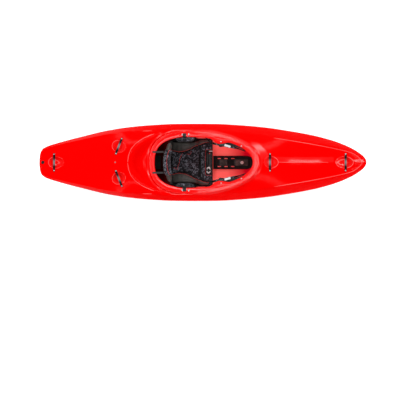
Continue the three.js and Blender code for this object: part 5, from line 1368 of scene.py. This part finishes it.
def hipPad():
    outerLine = lambda x: ovalHalf(x, coaming["opening"]) - hip["clear"]

    def at(u, v, face):
        x = mix(hip["rear"] + 1.5, hip["front"] - 1.5, (u + 1) / 2)
        z = mix(hip["bottom"] + 1, hip["top"] - 1.5, (v + 1) / 2)
        depth, full = hipDepth(u) - 2, plump(u) * plump(v)
        seam = depth / 4
        return stack(x, outerLine(x) - 1 - seam + np.where(face > 0, seam * full, -(depth - seam) * full), z)

    piece = cushion(Shape(), at, 35, 41).build("hipPadLeft", ["patternedFabric"], "smooth_fabric")

    def keep(points):
        x, y, z = points.T
        line = outerLine(np.clip(x, hip["rear"], hip["front"]))
        low = np.minimum(line - hip["thickness"] + 1, line)
        return stack(np.clip(x, hip["rear"], hip["front"]), np.clip(y, low, line), np.clip(z, hip["bottom"], hip["top"]))

    puffed(piece, 5.0, 5.0, keep)

    def shaped(points):
        x, y, z = points.T
        cut = 2.2 * channel(z - mix(hip["bottom"], hip["top"], 0.55), 5.0) * shareBetween(outerLine(x) - y, 12, 20)
        return keep(stack(x, y + cut, z))

    # patterned knit above, smooth cover below
    finished(piece, shaped, ["patternedFabric", "smoothFabric"], lambda c: c[:, 2] < 258)
    return piece


band = {
    "x": -306.0, "bottom": 188.0, "top": 335.0, "half": 166.0, "thickness": 44.0, "wing": 26.0, "curve": 34.0,
    "fuller": 18.0, "groove": 104.0, "step": 31.0, "taperBelow": 20.0, "taperAbove": 24.0, "grooveDepth": 6.0,
}


def bandMiddle(y):
    return band["x"] + band["curve"] * (y / band["half"]) ** 2


def bandDepth(y):
    return mix(band["thickness"], band["wing"], smooth((np.abs(y) - band["groove"] + band["step"] / 2) / band["step"]))


def backbandPad():
    b = band
    share = b["groove"] / b["half"]

    def edges(u):
        wingward = smooth((np.abs(u) - share) / (1 - share))
        return b["bottom"] + b["taperBelow"] * wingward, b["top"] - b["taperAbove"] * wingward

    def at(u, v, face):
        y = (b["half"] - 1.5) * u
        low, high = edges(u)
        swell = (bandDepth(y) / 2 - 1.5 + np.where(face > 0, b["fuller"], 0)) * plump(u) * plump(v)
        return stack(bandMiddle(y) + face * swell, y, mix(low + 1, high - 1, (v + 1) / 2))

    piece = cushion(Shape(), at, 61, 41).build("backbandPad", ["smoothFabric"], "smooth_fabric")

    def keep(points):
        x, y, z = points.T
        half = bandDepth(y) / 2
        return stack(np.clip(x, bandMiddle(y) - half, bandMiddle(y) + half + b["fuller"]), np.clip(y, -b["half"], b["half"]),
                     np.clip(z, b["bottom"], b["top"] + 1))

    puffed(piece, 5.0, 5.0, keep)

    def shaped(points):
        x, y, z = points.T
        ahead = shareBetween(x - bandMiddle(y), 0, 6)
        away = np.abs(y)
        cut = b["grooveDepth"] * channel(away - b["groove"], 5.0) + 2.0 * (channel(away - 128, 4.5) + channel(away - 150, 4.0))
        cut = cut + 2.5 * channel(z - 262, 5.0) * smooth((96 - away) / 12)
        return keep(stack(x - cut * ahead, y, z))

    # knit in the middle, smooth cover on the wings and behind
    middle = lambda c: ((np.abs(c[:, 1]) > b["groove"]) | (c[:, 0] < bandMiddle(c[:, 1]) - 21)).astype(int)
    finished(piece, shaped, ["patternedFabric", "smoothFabric"], middle)
    return settle(piece, "backband", "backband_pad")


seatPadPiece = seatPad()
print("seat pad: made")
thighPadPiece = thighPad()
bolsterLeft = bolster()
bolsterRight = mirroredPiece(bolsterLeft, "seatBolsterRight")
hipLeft = hipPad()
hipRight = mirroredPiece(hipLeft, "hipPadRight")
for piece, node in ((bolsterLeft, "seat_bolster_left"), (bolsterRight, "seat_bolster_right"),
                    (hipLeft, "hip_pad_left"), (hipRight, "hip_pad_right")):
    settle(piece, "hull", node)
bandPiece = backbandPad()
print("bolsters, hip pads and backband: made")

# Piping and sewn seams
piping = {"radius": 1.6, "seam": 1.35}


def lyingOn(piece, path, step, lift, closed=False):
    made = smoothPath([(*p, 0) for p in path], step, closed)
    made[:, 2] = topHeight(piece, made) + lift
    return made


def pipes():
    # beside the bolsters, round the hip pads' seams, round the band's knit panel and along the zigzag seams
    r = piping["radius"]
    x = np.linspace(bolsterSize["rear"] + 6, bolsterSize["front"] - 4, 130)
    inner, _, rise = bolsterLines(x)
    path = stack(x, inner - 0.2, panAt(x, inner) + padding["rest"] + rise / 3 + 1.5)
    for side, word in ((1, "Left"), (-1, "Right")):
        shape = tube(Shape(), path * [1, side, 1], r)
        settle(shape.build("bolsterPiping" + word, ["redThread"], "smooth_fabric"), "hull")
        turn = np.linspace(0, 2 * math.pi, 121)[:-1]
        c, s = np.cos(turn), np.sin(turn)
        u, v = np.sign(c) * np.abs(c) ** 0.5, np.sign(s) * np.abs(s) ** 0.4
        hx = mix(hip["rear"] + 2, hip["front"] - 2, (u + 1) / 2)
        depth = hipDepth(u) - 2
        loop = stack(hx, side * (ovalHalf(hx, coaming["opening"]) - hip["clear"] - depth * 0.3),
                     mix(hip["bottom"] + 2, hip["top"] - 1.5, (v + 1) / 2))
        shape = tube(Shape(), loop, 1.4, closed=True, up=(0, 1, 0))
        settle(shape.build("hipPiping" + word, ["smoothFabric"], "smooth_fabric"), "hull")
    zigzags = [
        [(-251, -46), (-233, -45), (-222, -56), (-211, -58), (-207, -30), (-196, -8), (-192, 22), (-183, 52), (-168, 78)],
        [(-131, 70), (-116, 68), (-103, 71), (-99, 84), (-98, 97)],
    ]
    shape = Shape()
    for path in zigzags:
        tube(shape, lyingOn(seatPadPiece, path, 3.0, 0.2), piping["seam"])
    settle(shape.build("seatSeams", ["redThread"], "patterned_fabric"), "hull")
    shape = Shape()
    rear, half = lifter["pocketRear"] - 5, lifter["pocketHalf"] + 4
    outline = [(74, half), (50, half), (rear + 8, half), (rear, half - 8), (rear, 50), (rear, 0), (rear, -50), (rear, 8 - half),
               (rear + 8, -half), (50, -half), (74, -half)]
    tube(shape, lyingOn(thighPadPiece, outline, 3.0, 0.2), 1.0)
    settle(shape.build("pocketSeam", ["redThread"], "patterned_fabric"), "leg_lifter")
    # the panel of the backband
    y = band["groove"] - 2
    loop = np.array([(side, z) for side, z in [(-y, 200), (-y, 262), (-y, 322), (-y + 12, 330), (0, 332), (y - 12, 330), (y, 322),
                                                (y, 262), (y, 200), (y - 12, 194), (0, 192), (12 - y, 194)]], float)
    path = smoothPath(np.concatenate([loop, 0 * loop[:, :1]], 1), 4.0, closed=True)
    height = (path[:, 1] - 262) / 73
    x = bandMiddle(path[:, 0]) + (bandDepth(path[:, 0]) / 2 + band["fuller"]) * np.clip(1 - np.abs(height) ** 6, 0.05, 1) * 0.86
    shape = tube(Shape(), stack(x, path[:, 0], path[:, 1]), 1.4, closed=True, up=(1, 0, 0))
    settle(shape.build("bandPiping", ["redThread"], "smooth_fabric"), "backband")


pipes()
print("piping and seams: made")


# Straps
def ribbon(path, width, thickness, step=2.5, teeth=None):
    # a flat strap along a path of (place, direction of its width); teeth says where its ladder of ribs runs
    path = smoothPath(path, step)
    place, across = path[:, :3], path[:, 3:]
    s = np.concatenate([[0], np.cumsum(np.linalg.norm(np.diff(place, axis=0), axis=1))])
    tangent = unit(np.gradient(place, axis=0))
    wide = unit(across - (across * tangent).sum(-1, keepdims=True) * tangent)
    thick = np.cross(tangent, wide)
    theta = 2 * math.pi * (np.arange(24) + 0.5) / 24
    c, d = np.cos(theta), np.sin(theta)
    a = width / 2 * np.sign(c) * np.abs(c) ** 0.35
    b = np.repeat((thickness / 2 * np.sign(d) * np.abs(d) ** 0.35)[None], len(s), 0)
    if teeth:
        rib = np.clip(1.4 - np.abs((s % 6.0) - 3.0), 0, 1) * smooth((s - teeth[0]) / 4) * smooth((teeth[1] - s) / 4)
        b = b + (b > 0) * 0.9 * rib[:, None] * (np.abs(a) < width * 0.36)
    ring = place[:, None] + a[None, :, None] * wide[:, None] + b[..., None] * thick[:, None]
    along = stack(np.repeat(s[:, None], 24, 1), a[None], b)
    ends = [np.repeat(place[k][None], 24, 0)[None] for k in (0, -1)]
    shape = Shape()
    shape.grid(np.concatenate([ends[0], ring, ends[1]]), closeCols=True,
               along=np.concatenate([along[:1] * [1, 0, 0], along, along[-1:] * [1, 0, 0]]))
    return shape


strapPaths = {
    "ladder": [
        (-292.37, 148, 261.5, 0, 0, 1), (-276.5, 170.8, 261.5, 0, 0, 1), (-242, 213.3, 261.5, 0, 0, 1),
        (-215, 222.3, 261.5, 0, 0, 1), (-130, 222.3, 261.5, 0, 0, 1), (-52, 222.3, 261.5, 0, 0, 1),
        (23, 204.3, 279.5, 0, 0.37, 0.93), (64, 167.18, 279.1, 0, 0.86, 0.51), (107, 151.73, 321.03, 0.05, 1, 0.1),
        (125, 149.03, 327.05, 0.28, 0.96, 0.06), (166.67, 147.48, 335.54, 0.28, 0.96, 0.06),
        (197.04, 138.08, 341.78, 0.28, 0.96, 0.06), (232.0, 127.5, 349.2, 0.28, 0.96, 0.06),
        (275.0, 117.0, 354.5, 0.2, 0.6, -0.7), (312.0, 105.5, 362.5, 0.1, 0.3, -0.94), (352.0, 91.5, 371.5, 0.1, 0.3, -0.94)],
    "rear": [
        (-416.6, 86, 308.2, 0, 1, 0), (-403, 86, 305.2, 0, 1, 0), (-390.6, 86, 302.6, 0, 1, 0), (-383.1, 86, 302.0, 0, 1, 0),
        (-358, 86, 301.6, 0, 1, 0), (-333.87, 86, 305, 0, 1, 0), (-323.27, 86, 312.5, 0, 1, 0)],
    "side": [
        (-152, 240, 305.4, 1, 0, 0), (-152, 232, 305.6, 1, 0, 0), (-152, 225, 303.8, 1, 0, 0), (-153, 216, 300.5, 1, 0, 0),
        (-154, 210.5, 299.4, 1, 0, 0), (-155, 207.6, 304, 1, 0, 0), (-156, 206.8, 317.8, 1, 0, 0)],
}


def straps():
    for side, word in ((1, "left"), (-1, "right")):
        flip = np.array([1, side, 1, 1 if side > 0 else -1, 1, 1 if side > 0 else -1], float)
        title = word.capitalize()
        path = np.array(strapPaths["ladder"]) * flip
        piece = ribbon(path, 18.0, 2.4, 1.5, (505.0, 690.0)).build("ladderStrap" + title, ["glossBlack"], "webbing", sharp=50)
        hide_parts(f"ladder_strap_{word}")
        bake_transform(piece)
        path = np.array(strapPaths["rear"]) * flip
        piece = ribbon(path, 15.0, 2.2).build("rearStrap" + title, ["webbing"], "webbing")
        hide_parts(f"rear_strap_{word}")
        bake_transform(piece)
        path = np.array(strapPaths["side"]) * flip
        piece = ribbon(path, 28.0, 2.0, 1.5).build("sideStrap" + title, ["webbing"], "webbing")
        settle(piece, "hull", f"side_strap_{word}")


straps()
print("straps: made")


# Hard parts inside the cockpit
def prism(outline, low, high, edge=0.5):
    # an outline round its own middle, carried up and drawn in by its rounded edges
    outline = np.array(outline, float)
    middle = outline.mean(0)
    size = np.linalg.norm(outline - middle, axis=1, keepdims=True)
    drawn = middle + (outline - middle) * (1 - edge / size)
    centre = np.repeat(middle[None], len(outline), 0)
    rows = [(centre, low), (drawn, low), (outline, low + edge), (outline, high - edge), (drawn, high), (centre, high)]
    return np.stack([stack(p[:, 0], p[:, 1], z) for p, z in rows])


def roundOutline(corners, radius, steps=5):
    # a closed outline whose corners are parabolas
    corners = np.array(corners, float)
    made = []
    t = np.linspace(0, 1, steps)[:, None]
    for k, corner in enumerate(corners):
        ends = []
        for other in (corners[k - 1], corners[(k + 1) % len(corners)]):
            away = other - corner
            ends.append(corner + away / np.linalg.norm(away) * min(radius, 0.48 * np.linalg.norm(away)))
        made.append(mix(mix(ends[0], corner, t), mix(corner, ends[1], t), t))
    return np.concatenate(made)


def oblong(x0, x1, y0, y1, radius=3.0):
    return roundOutline([(x0, y0), (x1, y0), (x1, y1), (x0, y1)], radius)


ratchetOrigin = np.array([197.839, 138.0823, 337.9128])
ratchetAxes = np.array([[0.9375, -0.29, 0.1926], [0.2841, 0.957, 0.0584], [-0.2012, 0, 0.9795]])
ratchetSize = {"length": 54.0, "cheek": 9.8, "cheekWall": 2.2, "height": 15.0, "pinAt": -14.0, "pinUp": 10.0, "lever": 50.0}


def crossed(points):
    # from (ahead, up, side) to (ahead, side, up)
    return points[..., [0, 2, 1]]


def ratchets():
    r = ratchetSize
    half = r["length"] / 2
    base = Shape()
    base.grid(prism(oblong(-half, half, -r["cheek"] - r["cheekWall"], r["cheek"] + r["cheekWall"], 4), 0, 2.4), closeCols=True)
    profile = roundOutline([(-22, 2), (13, 2), (13, 6), (4, 9), (-6, 14.5), (-19, 15), (-22, 11)], 3)
    for side in (-1, 1):
        inner, outer = sorted((side * r["cheek"], side * (r["cheek"] + r["cheekWall"])))
        base.grid(crossed(prism(profile, inner, outer, 0.4)), closeCols=True)
    for x in (-2.0, 6.0, 20.0):
        ridge = prism(oblong(x - 1.2, x + 1.2, -8.5, 8.5, 1), 2.2, 3.0, 0.25)
        base.grid(ridge * [1, 1, 1], closeCols=True)
    lever = Shape()
    t = np.linspace(0, 1, 40)
    x = mix(r["pinAt"] - 2.4, r["pinAt"] + r["lever"], t)
    width = 9.3 - 0.9 * smooth((t - 0.25) / 0.3) * smooth((0.85 - t) / 0.3)
    width = width * np.sqrt(np.clip(1 - np.clip((t - 0.9) / 0.1, 0, 1) ** 2, 0.05, 1))
    rise = r["pinUp"] + 2.0 + 1.8 * t ** 2 + 1.6 * np.sin(math.pi * np.clip(t / 0.25, 0, 1)) * 0.6
    thick = mix(2.6, 1.4, smooth(t)) + 0.35 * np.abs(np.sin(t * 34)) * (t > 0.62) * (t < 0.92)
    theta = 2 * math.pi * (np.arange(24) + 0.5) / 24
    c, s = np.cos(theta)[None], np.sin(theta)[None]
    ring = stack(x[:, None] + 0 * c, width[:, None] * np.sign(c) * np.abs(c) ** 0.4,
                 rise[:, None] + thick[:, None] * np.sign(s) * np.abs(s) ** 0.6)
    ends = [np.repeat(ring[k].mean(0)[None], 24, 0)[None] for k in (0, -1)]
    lever.grid(np.concatenate([ends[0], ring, ends[1]]), closeCols=True)
    pin = lathe([(0, -13.4), (2, -13.4), (2.4, -13), (2.4, 13), (2, 13.4), (0, 13.4)], 20)
    lever.grid(crossed(pin) + [r["pinAt"], 0, r["pinUp"]], closeCols=True, finish=1)
    for made, name, body, material in ((base, "ratchetBase", "hull", ["blackPlastic"]),
                                       (lever, "ratchetLever", None, ["buckle", "steel"])):
        made.points = [placedAt(points, ratchetOrigin, ratchetAxes) for points in made.points]
        for side, word in ((1, "left"), (-1, "right")):
            copy = Shape()
            for points, quads, finish in zip(made.points, made.quads, made.finish):
                copy.points.append(points * [1, side, 1])
                copy.quads.append(quads)
                copy.finish.append(finish)
                copy.along.append(np.zeros_like(points))
            piece = copy.build(name + word.capitalize(), material, "buckle", sharp=40)
            node = ("ratchet_base_" if body else "ratchet_lever_") + word
            settle(piece, body or "lever_" + word, node)


ratchets()

brace = {
    "rear": 5.0, "step": 140.0, "growth": 26.0, "front": 345.0, "thickness": 4.5, "ledge": 26.0, "frontLedge": 7.0,
    "taperFrom": 210.0, "outside": 22.0,
    "drop": 27.0, "lip": 20.0, "bossRadius": 9.0,
    "bosses": [(150.0, 170.93, 336.9), (318.0, 134.6, 378.2)],
}


def ledgeHeight(x):
    return rimHeight(x) - brace["drop"]


def thighBraces():
    # a ledge under the coaming whose inner edge turns down into a lip, and its two bosses
    b = brace
    x = np.linspace(b["rear"], b["front"], 86)
    edge = openingHalf(x)
    out = smooth((x - b["step"]) / b["growth"] + 1)
    ledge = mix(b["ledge"], b["frontLedge"], smooth((x - b["taperFrom"]) / (b["front"] - b["taperFrom"])))
    inner = mix(edge + b["thickness"], edge - ledge, out)
    z = ledgeHeight(x)
    end = smooth((x - b["rear"]) / 30) * smooth((b["front"] - x) / 22)
    drop = mix(b["thickness"] * 1.5, b["lip"], out) * mix(0.45, 1, end)
    corners = np.stack([
        stack(x, edge + b["outside"], z), stack(x, inner + b["lip"] / 2, z + 0.6 * out), stack(x, inner + b["lip"] / 8, z - 1.5),
        stack(x, inner, z - drop)], 1)
    grid = rounded(corners, [0, 10, 6, 0], 6)
    for side, word in ((1, "left"), (-1, "right")):
        shape = Shape()
        shape.grid(grid * [1, side, 1], flip=side > 0)
        piece = shape.build("thighBrace" + word.capitalize(), ["blackPlastic"], "black_plastic", outward=False)
        walled(piece, b["thickness"], 1.0)
        bevelled(piece, 1.0)
        applied(piece)
        piece.data.shade_smooth()
        piece.data.set_sharp_from_angle(angle=math.radians(40))
        settle(piece, "hull", f"thigh_brace_{word}")
        shape = Shape()
        for px, py, top in b["bosses"]:
            foot = float(ledgeHeight(np.array(px))) - 2
            rings = [(3.4, foot), (b["bossRadius"] + 1.5, foot), (b["bossRadius"], foot + 2), (b["bossRadius"] - 0.8, top - 0.4),
                     (b["bossRadius"] - 1.4, top), (3.4, top), (3.4, foot)]
            shape.grid(lathe(rings, 28) + [px, side * py, 0], closeCols=True, flip=True)
        settle(shape.build("braceBosses" + word.capitalize(), ["blackPlastic"], "black_plastic"), "hull")


thighBraces()

track = {
    "rear": 86.0, "front": 412.0, "half": 56.0, "endHalf": 24.0, "endReach": 62.0, "base": 4.0, "railWidth": 8.0,
    "railHeight": 22.0, "slotX": [(122, 150), (178, 206), (234, 262)], "slotY": (29.5, 36.5),
}


def floorAt(x):
    roundness, _ = linesAt(x)
    return heightAt("keelShares", x, roundness) + hull["wall"] + 0.8


def centreTrack():
    t = track
    roundedHalf = lambda x: mix(t["endHalf"], t["half"], np.sqrt(1 - np.clip(1 - (t["front"] - x) / t["endReach"], 0, 1) ** 2))
    # the base, as a grid whose lines run along the slots' edges, with the slots' cells left out
    x = np.unique(np.concatenate([np.linspace(t["rear"], t["front"] - 2, 90), np.ravel(t["slotX"])]))
    share = np.array([-48, -44, *[-v for v in t["slotY"][::-1]], -26, -20, -10, 0, 10, 20, 26, *t["slotY"], 44, 48.0])
    half = roundedHalf(x) - t["railWidth"] + 1
    y = share[None] * np.minimum(1, half[:, None] / 48)
    away = np.abs(share)[None]
    raised = 2.4 * smooth((26.5 - away) / 3) * (smooth((x - 139) / 4) * smooth((206 - x) / 4)
                                               + smooth((x - 262) / 5) * smooth((376 - x) / 5))[:, None]
    ribs = 1.6 * (np.abs(((x - 96) % 28) - 14) < 1.6)[:, None] * (away > 38) * (away < 46)
    z = floorAt(x)[:, None] + t["base"] + raised + ribs
    midX, midY = (x[:-1] + x[1:]) / 2, (share[:-1] + share[1:]) / 2
    slot = np.zeros((len(midX), len(midY)), bool)
    for a, b in t["slotX"]:
        slot |= ((midX > a) & (midX < b))[:, None] & ((np.abs(midY) > t["slotY"][0]) & (np.abs(midY) < t["slotY"][1]))[None]
    shape = Shape()
    grey = ((midX > 141) & (midX < 204) | (midX > 264) & (midX < 374))[:, None] & (np.abs(midY) < 26)[None]
    for finish, cells in ((0, ~grey), (1, grey)):
        shape.grid(stack(x[:, None] + 0 * y, y, z), flip=True, finish=finish, mask=~slot & cells)
    piece = shape.build("trackBase", ["blackPlastic", "greyPlastic"], "black_plastic", outward=False)
    walled(piece, 3.6)
    applied(piece)
    piece.data.shade_smooth()
    piece.data.set_sharp_from_angle(angle=math.radians(35))
    settle(piece, "hull", "center_track")
    # the rail: a rounded bar that follows the rim of the track round its front end
    xs = np.concatenate([np.linspace(t["rear"], 346, 60), t["front"] - t["endReach"] * (1 - np.sin(np.linspace(0, 1, 26) * math.pi / 2))])
    side = stack(xs, roundedHalf(xs) - t["railWidth"] / 2, 0)
    front = stack(t["front"] - 2, np.linspace(t["endHalf"] - 10, 10 - t["endHalf"], 8), 0)
    path = np.concatenate([side[:-1], front, side[::-1][1:] * mirrorY])
    path[:, 2] = floorAt(path[:, 0])
    tangent = unit(np.gradient(path * [1, 1, 0], axis=0))
    out = np.cross(tangent, [0, 0, 1])
    w, h = t["railWidth"] / 2, t["railHeight"]
    section = np.array([(-w, 0.2), (-w, h - 3), (-w + 1, h - 1.2), (0, h), (w - 1, h - 0.4), (w, h - 3), (w, 0.2), (0, 0)], float)
    ring = path[:, None] + section[None, :, :1] * out[:, None] + section[None, :, 1:] * np.array([0, 0, 1.0])
    ends = [np.repeat(ring[k].mean(0)[None], 8, 0)[None] for k in (0, -1)]
    shape = Shape()
    shape.grid(np.concatenate([ends[0], ring, ends[1]]), closeCols=True)
    # cross pieces at the rear and beside the screw
    for x0, x1, y0, y1, h0, h1 in ((88, 98, -50, 50, 3, 11), (376, 384, -34, 34, 3, 9)):
        level = float(floorAt(np.array((x0 + x1) / 2)))
        shape.grid(prism(oblong(x0, x1, y0, y1, 2), level + h0, level + h1), closeCols=True)
    settle(shape.build("trackRails", ["glossBlack"], "black_plastic", sharp=45), "hull")
    shape = Shape()
    rings = [(5.4, -1.5), (12.6, -1.5), (13.2, -0.6), (13.2, 1.6), (12.4, 2.4), (6.4, 2.4), (5.4, 1.6), (5.4, -1.5)]
    shape.grid(lathe(rings, 36) + [325, 0, float(floorAt(np.array(325.0))) + t["base"] + 2.4], closeCols=True, flip=True)
    settle(shape.build("trackWasher", ["whitePlastic"], "buckle"), "hull")


centreTrack()


def lifterTop(x, y=0.0):
    return panHeight(x) + lifter["gap"] + lifter["thickness"]


def pocket():
    # a glossy tray with a rolled rim and a round pull bar across it
    x0, x1, half = lifter["pocketRear"] + 1.5, seat["front"] - 0.5, lifter["pocketHalf"] - 1.5
    x, y = np.meshgrid(np.linspace(x0, x1, 50), np.linspace(-half, half, 120), indexing="ij")
    inside = np.minimum(np.minimum(x - x0, x1 - x), half - np.abs(y))
    rim = 6.0 * smooth((7 - inside) / 4) * smooth(inside / 1.6 + 0.2)
    bar = 6.5 * np.sqrt(np.clip(1 - ((x - 41) / 6.0) ** 2, 0, 1)) * smooth((y + 34) / 8) * smooth((84 - y) / 8)
    lip = 4.0 * np.exp(-((x - 64) / 4.0) ** 2) * smooth((y + 90) / 10) * smooth((86 - y) / 10)
    top = lifterTop(x) + 1.2 + np.maximum(rim, np.maximum(bar, lip))
    shape = Shape()
    shape.grid(stack(x, y, top), flip=True)
    under = stack(x, y, lifterTop(x) + 0.4)
    shape.grid(under)
    for a, b in ((np.s_[0, :], 1), (np.s_[-1, :], 0), (np.s_[:, 0], 0), (np.s_[:, -1], 1)):
        wall = np.stack([stack(x, y, top)[a], under[a]])
        shape.grid(wall, flip=bool(b))
    piece = shape.build("pocketTray", ["glossBlack"], "black_plastic", sharp=50)
    settle(piece, "leg_lifter")
    level = lambda px: float(lifterTop(np.array(px)))
    shape = Shape()
    shape.grid(prism(oblong(52, 80, 90, 97.5, 2), level(66) + 5, level(66) + 7.6), closeCols=True)
    settle(shape.build("pocketTab", ["buckle"], "buckle"), "leg_lifter")
    shape = Shape()
    shape.grid(prism(oblong(51, 60, 71, 79, 1.5), level(55) + 1.2, level(55) + 4.4), closeCols=True)
    settle(shape.build("pocketPull", ["redThread"], "webbing"), "leg_lifter")


def cleat():
    # an oval dome with a dark bar through its waist
    cx, cy, halfX, halfY = 48.0, -64.0, 18.0, 28.0
    slope = seat["rise"] / (seat["front"] - seat["hinge"])
    base = float(lifterTop(np.array(cx))) + 1.5
    theta = 2 * math.pi * np.arange(72) / 72
    rows = []
    for share, z in ((0, 0), (1, 0), (1.0, 3.2), (0.97, 5.0), (0.88, 6.6), (0.75, 7.6), (0.6, 8.1), (0.42, 8.3), (0.2, 8.4), (0, 8.4)):
        dx, dy = halfX * share * np.cos(theta), halfY * share * np.sin(theta)
        dip = 3.4 * smooth((8.5 - np.abs(dy)) / 2.5) * (z > 4)
        rows.append(stack(dx, dy, z - dip))
    shape = Shape()
    dark = np.repeat((np.arange(9) >= 6)[:, None], len(theta), 1)
    for finish, cells in ((0, ~dark), (1, dark)):
        shape.grid(np.stack(rows), closeCols=True, flip=True, finish=finish, mask=cells)
    bar = crossed(prism(roundOutline([(-17, 3.5), (17, 3.5), (15, 9.2), (-15, 9.2)], 3), -5.5, 5.5, 0.8))
    shape.grid(bar, closeCols=True, finish=1)
    shape.points = [points @ np.array([[1, 0, slope], [0, 1, 0], [-slope, 0, 1]]) + [cx, cy, base] for points in shape.points]
    settle(shape.build("lifterCleat", ["buckle", "glossBlack"], "buckle"), "leg_lifter", "lifter_cleat")


pocket()
cleat()
print("ratchets, braces, track and leg lifter: made")

pillars = {"stern": (-1105.0, -347.0, 56.0, 236.0, -408.0), "bow": (775.0, 1058.0, 45.0, None, None), "under": 2.2, "over": 8.4}


def pillar(name, node):
    # a slab of foam that stands on the hull's floor and reaches the deck, its upper face cut back under the backband
    rear, front, half, notch, step = pillars[name]
    x = np.unique(np.concatenate([np.linspace(rear, front, 96), [step - 0.5, step + 0.5] if notch else []]))
    y = np.linspace(-half, half, 15)
    level = (floorAt(x) - 0.8) * np.ones(1)
    slope = np.gradient(level, x)
    low = level[:, None] + hull["wall"] * (np.hypot(1, slope) - 1)[:, None] + pillars["under"] + 0 * y[None]
    high = deckHeight(x[:, None], y[None]) - pillars["over"] - 3 * np.abs(np.gradient(deckHeight(x, 0 * x), x))[:, None]
    if notch:
        high = np.where(x[:, None] > step, np.minimum(high, notch), high)
    high = np.maximum(high, low + 5)
    shape = Shape()
    top, bottom = stack(x[:, None] + 0 * y, y[None], high), stack(x[:, None] + 0 * y, y[None], low)
    shape.grid(top, flip=True)
    shape.grid(bottom)
    for a in (np.s_[0, :], np.s_[-1, :], np.s_[:, 0], np.s_[:, -1]):
        shape.grid(np.stack([top[a], bottom[a]]))
    piece = shape.build(name + "Pillar", ["foam"], "foam", sharp=30)
    bevelled(piece, 3.0, 3, 50)
    settle(piece, "hull", node)


pillar("stern", "stern_pillar")
pillar("bow", "bow_pillar")
print("pillars: made")
